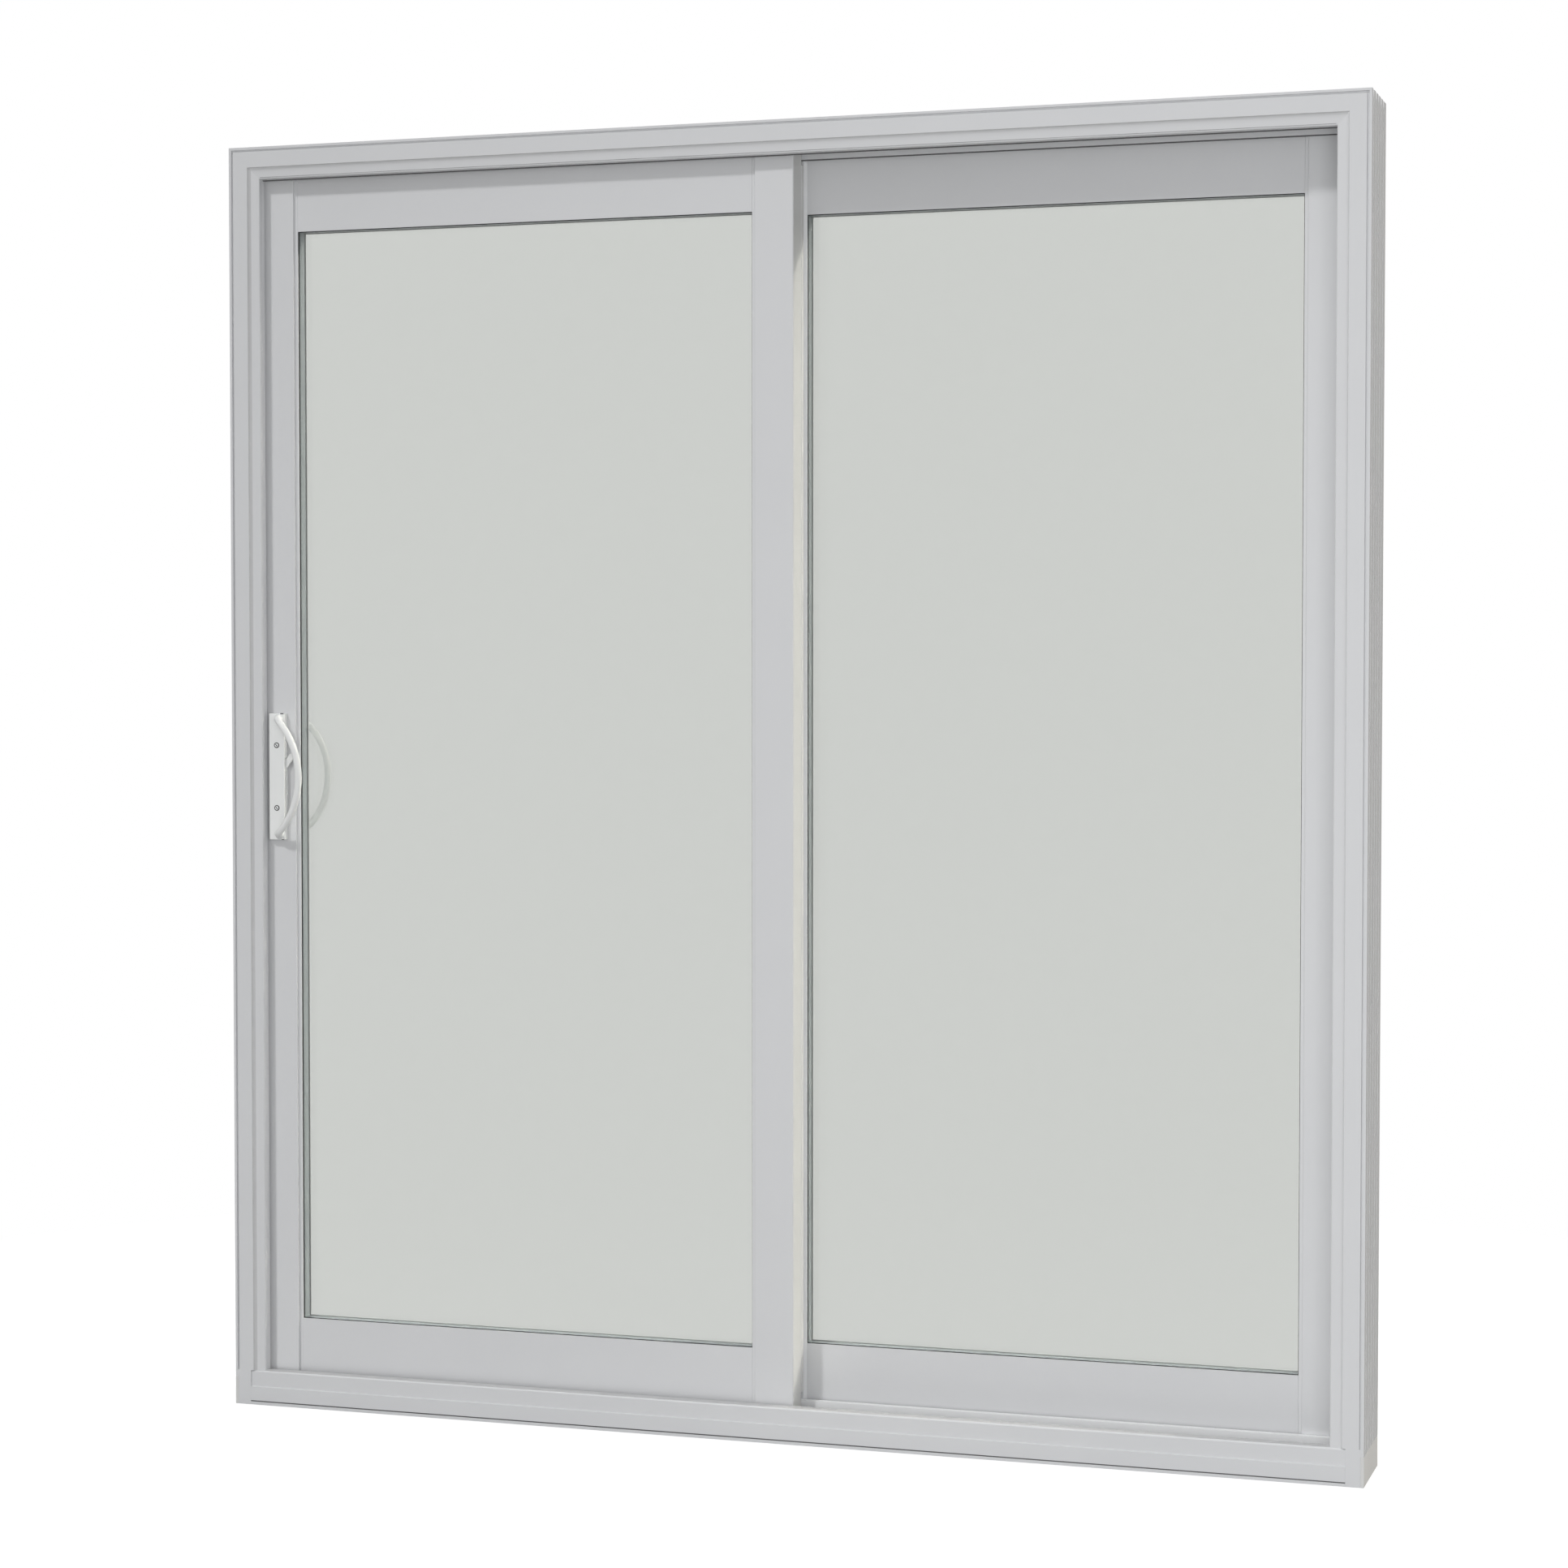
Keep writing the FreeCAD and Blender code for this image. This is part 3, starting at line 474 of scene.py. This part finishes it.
# Painted light on the fixed stile's ledge; painted warm light and shade on the sliding stile's side and
# fin.
ledge = second_finish(nodes["fixed_meeting_stile"], "painted_light_vinyl", on_the_ledge)
interlock = [second_finish(nodes[name], "warm_light_vinyl", on_the_interlock)
             for name in ("slider_meeting_stile", "slider_interlock_fin")]
print("ledge faces", ledge, "interlock faces", interlock)

# %% Faces of the sill
SILL_CREST = 0.05
UPRIGHT_REAR = -0.04
PARTITION_MIDDLE, PARTITION_HALF = 0.007, 0.01
KICK_LOW, KICK_HIGH, KICK_REAR = 0.0045, 0.0068, -0.0705
TRACK_LOW = 0.01


def on_the_upright(centre, normal):
    return normal.z > FACING and centre.z > SILL_CREST and centre.y < UPRIGHT_REAR


def on_the_partition(centre, normal):
    crest = normal.z > FACING and centre.z > SILL_CREST
    return abs(centre.y - PARTITION_MIDDLE) < PARTITION_HALF and (normal.y < -FACING or crest)


def in_the_track(centre, normal):
    floor = normal.z > FACING and centre.z < SILL_CREST
    return centre.z > TRACK_LOW and (normal.y > FACING or floor)


def in_the_kick_groove(centre, normal):
    return KICK_LOW < centre.z < KICK_HIGH and centre.y < KICK_REAR


# Painted shade on the upright's top, in the track and in the groove at the foot; painted light on the
# partition.
SILL_PARTS = {"painted_shade_vinyl": on_the_upright, "painted_light_vinyl": on_the_partition, "track_shade": in_the_track,
              "kick_groove_shade": in_the_kick_groove}
sill_faces = {key: second_finish(nodes["sill"], key, test) for key, test in SILL_PARTS.items()}
print("sill faces", sill_faces)

# %% [markdown]
# ## The moulded band around the opening
#
# Inside the frame's flat face a narrow moulding runs up one jamb, along the head and down the other
# jamb. It starts with a hollow, runs on almost level and rounds off at the lip. A curve with a bevel
# object could sweep it, but the mitres would need trimming. Its section is a short list of points
# instead, each a distance inwards from the frame's edge and a depth behind the face, in millimetres.
# Two copies of the section, one at each end of a length, are joined by a ring of faces, and the
# points at a corner lie on the mitre by themselves. The hollow's first faces on the left jamb, and the
# first one along the head, take a darker copy of the vinyl as painted shade, as the photograph shows it.

# %% Helpers that turn a mesh into a piece of the door
def mesh_from(bm, name, *finishes):
    mesh = bpy.data.meshes.new(name)
    bm.to_mesh(mesh)
    bm.free()
    for finish in finishes:
        mesh.materials.append(MATERIALS[finish])
    return mesh


def add_piece(name, mesh, body, replaced=None):
    """Adds a mesh to the scene under its body, and hides the node that it stands for, if one is given."""
    obj = bpy.data.objects.new(name, mesh)
    bpy.context.scene.collection.objects.link(obj)
    if replaced:
        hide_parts(replaced)
    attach(obj, body)
    return obj


# %% Mould the band
BAND = [(32.0, 0.4), (33.0, 1.9), (34.6, 3.2), (36.8, 4.2), (39.5, 4.9), (43.0, 5.4), (49.2, 6.0),
        (49.7, 6.2), (50.5, 7.4), (50.9, 9.2), (50.95, 12.4), (50.95, 14.2), (49.2, 12.7), (33.3, 7.5)]
MILLIMETRE = 0.001
BAND_SHARP = math.radians(50.0)
BAND_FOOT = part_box("sill")[1][2]


def at_corner(side, inward, depth):
    return (side * (HALF_WIDTH - inward), FRONT + depth, TOP - inward)


def at_foot(side, inward, depth):
    return (side * (HALF_WIDTH - inward), FRONT + depth, BAND_FOOT)


def band_length(name, finish, shaded, ends):
    """A length between two ends, each a placing function and a side; its first few faces take painted
    shade.
    """
    section = [(inward * MILLIMETRE, depth * MILLIMETRE) for inward, depth in BAND]
    count = len(section)
    points = [place(side, *point) for place, side in ends for point in section]
    faces = [(i, (i + 1) % count, count + (i + 1) % count, count + i) for i in range(count)]
    faces += [tuple(range(count)), tuple(range(count, 2 * count))]
    bm = bmesh.new()
    corners = [bm.verts.new(point) for point in points]
    for face in faces:
        bm.faces.new([corners[i] for i in face])
    bmesh.ops.recalc_face_normals(bm, faces=bm.faces)
    mesh = mesh_from(bm, name, finish, "painted_shade_vinyl")
    mesh.shade_smooth()
    mesh.set_sharp_from_angle(angle=BAND_SHARP)
    # Painted shade: the hollow's first faces take the darker vinyl.
    for face in mesh.polygons[:shaded]:
        face.material_index = 1
    return add_piece(name, mesh, "frame")


BANDS = [
    band_length("left_band", "vinyl_upright", 3, ((at_foot, -1.0), (at_corner, -1.0))),
    band_length("head_band", "vinyl_cross", 1, ((at_corner, -1.0), (at_corner, 1.0))),
    band_length("right_band", "vinyl_upright", 0, ((at_corner, 1.0), (at_foot, 1.0))),
]
for piece in BANDS:
    print(piece.name, [round(v, 4) for v in piece.dimensions])

# %% [markdown]
# ## The scored line along the head
#
# A fine line is scored along the head's band, near the lip, and shows as a broken line from a few
# metres away. A groove that fine would need a cut through the whole band. A strip less than a
# millimetre wide, laid on the band from mitre to mitre, looks the same; its darkness is painted
# shade, standing for the shadow inside the groove. Its finish runs from dark to nearly the tone of the
# vinyl, which breaks the line up.

# %% Lay the scored line on the head
SCORE = {"y": -0.0671, "z": 1.9710, "width": 0.0008, "thick": 0.0004, "slope": 6.0, "short": 0.004}


def groove_shade_line():
    half = HALF_WIDTH - (TOP - SCORE["z"]) - SCORE["short"]
    turn = Matrix.Rotation(math.radians(SCORE["slope"]), 4, "X")
    size = Matrix.Diagonal((2.0 * half, SCORE["thick"], SCORE["width"], 1.0))
    bm = bmesh.new()
    place = Matrix.Translation((0.0, SCORE["y"], SCORE["z"]))
    bmesh.ops.create_cube(bm, size=1.0, matrix=place @ turn @ size)
    mesh = mesh_from(bm, "head_groove_shade_line", "groove_shade_line")
    return add_piece("head_groove_shade_line", mesh, "frame")


print("scored line", [round(v, 4) for v in groove_shade_line().dimensions])

# %% [markdown]
# ## The arched pulls
#
# Each pull is one cast bar. It rises from the plate, bends into an arch that lies almost level with
# the panel, and comes back to the plate in the same way. Its path is an elliptic arc whose distance
# from the plate follows a superellipse: nearly constant in the middle of the arch, then soon down to
# nothing at the feet. A curve with a round bevel sweeps the bar along that path, and its points carry
# a radius of their own, so that each foot can flare where it meets the plate. The same path serves
# the room side and the outside, with the direction turned.

# %% The path of a pull
PLATE_LOW, PLATE_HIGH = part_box("inner_handle_plate")
OUTER_LOW, OUTER_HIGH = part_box("outer_handle_plate")
HANDLE_X = (PLATE_LOW[0] + PLATE_HIGH[0]) / 2
HANDLE_Z = (PLATE_LOW[2] + PLATE_HIGH[2]) / 2
PULL = {"half": 0.0922, "reach": 0.0447, "stand": 0.0225, "offset": 0.0046, "angle": 62.0, "power": 2.5,
        "points": 97}


def pull_path(face, out):
    """Centre points of the bar from foot to foot, each with its distance from the plate."""
    turn = math.radians(PULL["angle"])
    bend = 2.0 / PULL["power"]
    deep = PULL["reach"] / (1.0 - math.cos(turn))
    tall = PULL["half"] / math.sin(turn)
    path = []
    for i in range(PULL["points"]):
        angle = math.pi * (0.5 - i / (PULL["points"] - 1))
        along = math.copysign(abs(math.sin(angle)) ** bend, angle) * turn
        off = PULL["stand"] * max(math.cos(angle), 0.0) ** bend
        x = HANDLE_X + PULL["offset"] + deep * (math.cos(along) - math.cos(turn))
        path.append((Vector((x, face + out * off, HANDLE_Z + tall * math.sin(along))), off))
    return path


print("handle middle", round(HANDLE_X, 4), round(HANDLE_Z, 4))

# %% Sweep the bars
BAR = {"radius": 0.0054, "flare": 0.5, "foot": 0.011, "foot_power": 2.2}


def curve_to_mesh(name, curve, finish):
    """Turns a curve with a bevel into a plain, smooth mesh with one finish."""
    shape = bpy.data.objects.new(name + "_curve", curve)
    bpy.context.scene.collection.objects.link(shape)
    depsgraph = bpy.context.evaluated_depsgraph_get()
    mesh = bpy.data.meshes.new_from_object(shape.evaluated_get(depsgraph))
    bpy.data.objects.remove(shape)
    mesh.materials.clear()
    mesh.materials.append(MATERIALS[finish])
    mesh.shade_smooth()
    return mesh


def swept_bar(name, face, out, finish):
    curve = bpy.data.curves.new(name, "CURVE")
    curve.dimensions = "3D"
    curve.bevel_depth = BAR["radius"]
    curve.bevel_resolution = 8
    curve.use_fill_caps = True
    path = pull_path(face, out)
    spline = curve.splines.new("POLY")
    spline.points.add(len(path) - 1)
    for point, (centre, off) in zip(spline.points, path):
        near = max(0.0, 1.0 - off / BAR["foot"])
        point.co = (*centre, 1.0)
        point.radius = 1.0 + BAR["flare"] * near ** BAR["foot_power"]
    return curve_to_mesh(name, curve, finish)


PULLS = {"inner_pull": (PLATE_LOW[1], -1.0, "white_enamel"),
         "outer_pull": (OUTER_HIGH[1], 1.0, "painted_light_enamel")}
for node, (face, out, finish) in PULLS.items():
    name = node + "_cast"
    bar = add_piece(name, swept_bar(name, face, out, finish), "sliding_panel", node)
    print(bar.name, len(bar.data.polygons), "faces")

# %% [markdown]
# ## The handle plates
#
# A plate is a die-cast block with softly rounded edges. The room-side plate has a narrow slot in the
# side towards the glass, where the thumb lever swings. A boolean cut could leave long, thin faces
# that shade badly. Here the block's faces are cut along four planes and the face between them is
# pushed inwards, which keeps the mesh closed and even.

# %% Cast both plates
PLATE_ROUND = 0.0013
SLOT = {"half_width": 0.0025, "half_length": 0.029, "deep": 0.020}
LEVER_LOW, LEVER_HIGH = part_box("thumb_lever")
LEVER_Y = (LEVER_LOW[1] + LEVER_HIGH[1]) / 2


def plate_block(low, high):
    bm = bmesh.new()
    middle = (Vector(low) + Vector(high)) / 2
    size = Vector(high) - Vector(low)
    bmesh.ops.create_cube(bm, size=1.0, matrix=Matrix.Translation(middle) @ Matrix.Diagonal((*size, 1.0)))
    return bm


def cut_slot(bm):
    """Pushes a window in the block's +X face inwards."""
    for sign in (-1.0, 1.0):
        across = ((0.0, LEVER_Y + sign * SLOT["half_width"], 0.0), (0.0, 1.0, 0.0))
        along = ((0.0, 0.0, HANDLE_Z + sign * SLOT["half_length"]), (0.0, 0.0, 1.0))
        for point, normal in (across, along):
            parts = bm.verts[:] + bm.edges[:] + bm.faces[:]
            bmesh.ops.bisect_plane(bm, geom=parts, plane_co=point, plane_no=normal)
    window = []
    for face in bm.faces:
        centre = face.calc_center_median()
        beside = abs(centre.y - LEVER_Y) < SLOT["half_width"]
        within = abs(centre.z - HANDLE_Z) < SLOT["half_length"]
        if face.normal.x > FACING and beside and within:
            window.append(face)
    pushed = bmesh.ops.extrude_face_region(bm, geom=window)
    verts = [item for item in pushed["geom"] if isinstance(item, bmesh.types.BMVert)]
    bmesh.ops.translate(bm, verts=verts, vec=(-SLOT["deep"], 0.0, 0.0))
    bmesh.ops.delete(bm, geom=window, context="FACES")


def finish_plate(name, bm, node, finish):
    bmesh.ops.recalc_face_normals(bm, faces=bm.faces)
    mesh = mesh_from(bm, name, finish)
    mesh.shade_smooth()
    obj = add_piece(name, mesh, "sliding_panel", node)
    soft = obj.modifiers.new("round", "BEVEL")
    soft.width = PLATE_ROUND
    soft.segments = 3
    soft.limit_method = "ANGLE"
    soft.harden_normals = True
    return obj


block = plate_block(PLATE_LOW, PLATE_HIGH)
cut_slot(block)
inner_plate = finish_plate("inner_plate_cast", block, "inner_handle_plate", "white_enamel")
block = plate_block(OUTER_LOW, OUTER_HIGH)
outer_plate = finish_plate("outer_plate_cast", block, "outer_handle_plate", "painted_light_enamel")
print("plates", len(inner_plate.data.polygons), len(outer_plate.data.polygons))

# %% [markdown]
# ## Screw heads and painted shadow marks
#
# A painted pan head seen from a few metres is a pale dome in a dark ring, with a dark driver slot.
# Each head is a low cone for the dome, a thin dark disc under its rim and a thin dark bar across it,
# all in one mesh with two finishes. The disc and the bar are painted shade: they stand for the shadow
# in the gap around the head and inside the slot. Two short dark bars are set into the upper and the
# lower edge of the room-side plate; they are painted shadow of the pull's feet on those edges.

# %% Discs and bars for small details
DISC_SIDES = 28


def paint(verts, index):
    for face in {face for vert in verts for face in vert.link_faces}:
        face.material_index = index


def add_disc(bm, spot, radius, top, thick, index):
    """A disc or low cone whose base lies on the plate and whose top faces the room."""
    turn = Matrix.Rotation(math.radians(90.0), 4, "X")
    matrix = Matrix.Translation(Vector(spot) - Vector((0.0, thick / 2, 0.0))) @ turn
    made = bmesh.ops.create_cone(
        bm, cap_ends=True, segments=DISC_SIDES, radius1=radius, radius2=top, depth=thick, matrix=matrix)
    paint(made["verts"], index)


def add_bar(bm, spot, size, angle, index):
    turn = Matrix.Rotation(math.radians(angle), 4, "Y")
    matrix = Matrix.Translation(Vector(spot)) @ turn @ Matrix.Diagonal((*size, 1.0))
    paint(bmesh.ops.create_cube(bm, size=1.0, matrix=matrix)["verts"], index)


# %% Model the screw heads
SCREW = {"apart": 0.1008, "ring": 0.0046, "ring_top": 0.0045, "ring_thick": 0.0003,
         "rim": 0.0033, "crown": 0.0027, "rise": 0.0011,
         "slot": (0.0044, 0.0003, 0.0012), "slot_angle": 50.0}


def handle_screws():
    bm = bmesh.new()
    face = PLATE_LOW[1]
    for sign in (-1.0, 1.0):
        z = HANDLE_Z + sign * SCREW["apart"] / 2
        # The dark disc and the dark bar across each head are painted shade.
        add_disc(bm, (HANDLE_X, face, z), SCREW["ring"], SCREW["ring_top"], SCREW["ring_thick"], 1)
        add_disc(bm, (HANDLE_X, face, z), SCREW["rim"], SCREW["crown"], SCREW["rise"], 0)
        add_bar(bm, (HANDLE_X, face - SCREW["rise"], z), SCREW["slot"], SCREW["slot_angle"], 1)
    mesh = mesh_from(bm, "handle_screw_heads", "white_enamel", "seam_shadow")
    return add_piece("handle_screw_heads", mesh, "sliding_panel", "inner_handle_screws")


screw_heads = handle_screws()
print("screw heads", len(screw_heads.data.polygons), "faces")

# %% Set the painted shadow bars into the plate's edges
# Painted shadow: a dark bar in each of the plate's upper and lower edges.
SHADOW_BARS = {
    "upper": {"x": 0.0095, "z": PLATE_HIGH[2] - 0.0004, "size": (0.0052, 0.0040, 0.0015)},
    "lower": {"x": 0.0101, "z": PLATE_LOW[2] + 0.0003, "size": (0.0036, 0.0040, 0.0010)},
}
SHADOW_BAR_DEPTH = 0.0018


def plate_shadow_bars():
    bm = bmesh.new()
    for dark_bar in SHADOW_BARS.values():
        spot = (HANDLE_X + dark_bar["x"], PLATE_LOW[1] + SHADOW_BAR_DEPTH, dark_bar["z"])
        add_bar(bm, spot, dark_bar["size"], 0.0, 0)
    mesh = mesh_from(bm, "plate_shadow_bars", "seam_shadow")
    return add_piece("plate_shadow_bars", mesh, "sliding_panel")


shadow_bars = plate_shadow_bars()
print("slits", len(shadow_bars.data.polygons), "faces")

# %% [markdown]
# ## White surroundings
#
# The door stands on plain white. A white world that also lights the door would wash out its shadows,
# so the world has two strengths: white for rays that are seen, straight, mirrored or through glass,
# and about a third of that for rays that carry light. The Light Path node tells them apart.

# %% The world
FILL_STRENGTH = 0.314


def join_values(tree, operation, first, second):
    """A maths node on two inputs, each a socket or a plain number."""
    node = tree.nodes.new("ShaderNodeMath")
    node.operation = operation
    for socket, value in zip(node.inputs, (first, second)):
        if isinstance(value, bpy.types.NodeSocket):
            tree.links.new(value, socket)
        else:
            socket.default_value = value
    return node.outputs["Value"]


def seen_rays(tree):
    """1 for camera, mirror and glass rays, 0 for the rays that carry light."""
    path = tree.nodes.new("ShaderNodeLightPath")
    seen = join_values(tree, "MAXIMUM", path.outputs["Is Camera Ray"], path.outputs["Is Glossy Ray"])
    return join_values(tree, "MAXIMUM", seen, path.outputs["Is Transmission Ray"])


def plain_sky(tree, color, strength):
    sky = tree.nodes.new("ShaderNodeBackground")
    sky.inputs["Color"].default_value = (*color, 1.0)
    sky.inputs["Strength"].default_value = strength
    return sky.outputs["Background"]


def white_world():
    world = bpy.data.worlds.new("studio")
    bpy.context.scene.world = world
    world.use_nodes = True
    tree = world.node_tree
    tree.nodes.clear()
    fill = plain_sky(tree, (0.97, 0.98, 1.0), FILL_STRENGTH)
    white = plain_sky(tree, (1.0, 1.0, 1.0), 1.0)
    out = tree.nodes.new("ShaderNodeOutputWorld")
    tree.links.new(mix_shaders(tree, seen_rays(tree), fill, white), out.inputs["Surface"])
    return world


print("world", white_world().name, "fill", FILL_STRENGTH)

# %% [markdown]
# ## The floor
#
# The floor is a wide plane that keeps the door's shadow near it and fades to plain white further out.
# A white floor would throw too much light up at the door, so it is grey to the rays that carry light
# and lifted towards white for the rays that are seen. Through the glass it is plain white, as the
# photograph shows it.

# %% A pale floor
FLOOR_HALF = 60.0
FLOOR_GREY = 0.33
FLOOR_LIFT = 0.77
FADE_START, FADE_END = 1.0, 2.4


def pale_floor():
    """A wide plane: grey to the light, lifted for the eye, plain white further out and through glass."""
    mesh = bpy.data.meshes.new("floor")
    corners = [(x * FLOOR_HALF, y * FLOOR_HALF, 0.0) for x, y in ((-1, -1), (1, -1), (1, 1), (-1, 1))]
    mesh.from_pydata(corners, [], [(0, 1, 2, 3)])
    floor = bpy.data.objects.new("floor", mesh)
    bpy.context.scene.collection.objects.link(floor)
    mat, shader = new_material("pale_floor", (FLOOR_GREY, FLOOR_GREY, FLOOR_GREY), 0.9)
    mesh.materials.append(mat)
    tree = mat.node_tree
    seen = seen_rays(tree)
    shader.inputs["Emission Color"].default_value = (1.0, 1.0, 1.0, 1.0)
    tree.links.new(join_values(tree, "MULTIPLY", seen, FLOOR_LIFT), shader.inputs["Emission Strength"])
    coords = tree.nodes.new("ShaderNodeTexCoord")
    length = tree.nodes.new("ShaderNodeVectorMath")
    length.operation = "LENGTH"
    tree.links.new(coords.outputs["Object"], length.inputs[0])
    fade = tree.nodes.new("ShaderNodeMapRange")
    fade.inputs["From Min"].default_value = FADE_START
    fade.inputs["From Max"].default_value = FADE_END
    tree.links.new(length.outputs["Value"], fade.inputs["Value"])
    path = tree.nodes.new("ShaderNodeLightPath")
    plain = join_values(tree, "MAXIMUM", fade.outputs["Result"], path.outputs["Is Transmission Ray"])
    white = tree.nodes.new("ShaderNodeEmission")
    factor = join_values(tree, "MULTIPLY", seen, plain)
    both = mix_shaders(tree, factor, shader.outputs["BSDF"], white.outputs["Emission"])
    tree.links.new(both, tree.nodes["Material Output"].inputs["Surface"])
    return floor


print("floor", [round(v, 1) for v in pale_floor().dimensions])

# %% [markdown]
# ## The lights
#
# The shadows under the head and beside the meeting stile say where the main light stands: high in
# front, on the left. It is a sun with a wide disc, so that the shadows are soft at their ends. A
# second, warm sun behind on the right shines through the fixed glass on the sliding panel's edge and
# on the frame's ribbed side. Two large soft boxes, one in front on the right and one behind on the
# left, lift the shade on both faces of the door. The boxes are hidden from the camera and from
# mirrored and bent rays, so that they show nowhere in the glass.

# %% Suns and soft boxes
DOOR_MIDDLE = Vector((0.0, 0.0, 1.0))
BOX_AIM = Vector((0.3, 0.0, 1.0))
SUN_DISTANCE = 12.0
WHITE = (1.0, 1.0, 1.0)


def place_light(name, data, location, toward):
    """Puts a lamp in the scene; it shines away from the direction that toward gives."""
    lamp = bpy.data.objects.new(name, data)
    bpy.context.scene.collection.objects.link(lamp)
    lamp.location = location
    lamp.rotation_euler = toward.to_track_quat("Z", "Y").to_euler()
    return lamp


def sun_light(name, toward, strength, disc, color):
    """Even light from far away; toward points at the light, and disc is its width in degrees."""
    data = bpy.data.lights.new(name, "SUN")
    data.energy = strength
    data.angle = math.radians(disc)
    data.color = color
    direction = Vector(toward)
    return place_light(name, data, DOOR_MIDDLE + direction.normalized() * SUN_DISTANCE, direction)


def soft_box(name, location, size, power, color):
    """A square of light that faces the door and stays out of sight itself."""
    data = bpy.data.lights.new(name, "AREA")
    data.size = size
    data.energy = power
    data.color = color
    lamp = place_light(name, data, Vector(location), Vector(location) - BOX_AIM)
    lamp.visible_camera = False
    lamp.visible_glossy = False
    lamp.visible_transmission = False
    return lamp


LAMPS = [
    sun_light("key", toward=(-0.466, -1.0, 1.03), strength=1.03, disc=6.0, color=WHITE),
    sun_light("back", toward=(1.0, 0.7, 0.735), strength=1.3, disc=1.5, color=(1.0, 0.95, 0.88)),
    soft_box("fill", location=(1.5, -3.5, 1.2), size=2.0, power=43.0, color=(0.98, 0.99, 1.0)),
    soft_box("rear", location=(-2.8, 3.6, 1.4), size=2.0, power=110.0, color=WHITE),
]
for lamp in LAMPS:
    print(lamp.name, lamp.data.type, [round(v, 2) for v in lamp.location])

# %% [markdown]
# ## The camera
#
# The photograph's perspective, solved from the corners of the frame, gives a focal length of 4087
# pixels on a 1932 pixel frame. The camera stands 1.19 m above the sill's underside and 1.57 m to the
# right of the door's middle, turned 17.9 degrees to the left and 2 degrees down.

# %% Camera
FOCAL_PIXELS, PHOTO_PIXELS = 4087.0, 1932.0
SENSOR = 36.0
CAMERA_SPOT = (1.574, -4.874, 1.190)
CAMERA_DOWN, CAMERA_LEFT = 2.01, 17.89


def photo_camera():
    data = bpy.data.cameras.new("photo_camera")
    data.sensor_width = SENSOR
    data.lens = SENSOR * FOCAL_PIXELS / PHOTO_PIXELS
    data.clip_end = 300.0
    camera = bpy.data.objects.new("photo_camera", data)
    camera.location = CAMERA_SPOT
    camera.rotation_euler = (math.radians(90.0 - CAMERA_DOWN), 0.0, math.radians(CAMERA_LEFT))
    bpy.context.scene.collection.objects.link(camera)
    bpy.context.scene.camera = camera
    return camera


print("lens", round(photo_camera().data.lens, 2), "mm")
bpy.context.scene.view_settings.view_transform = "Standard"
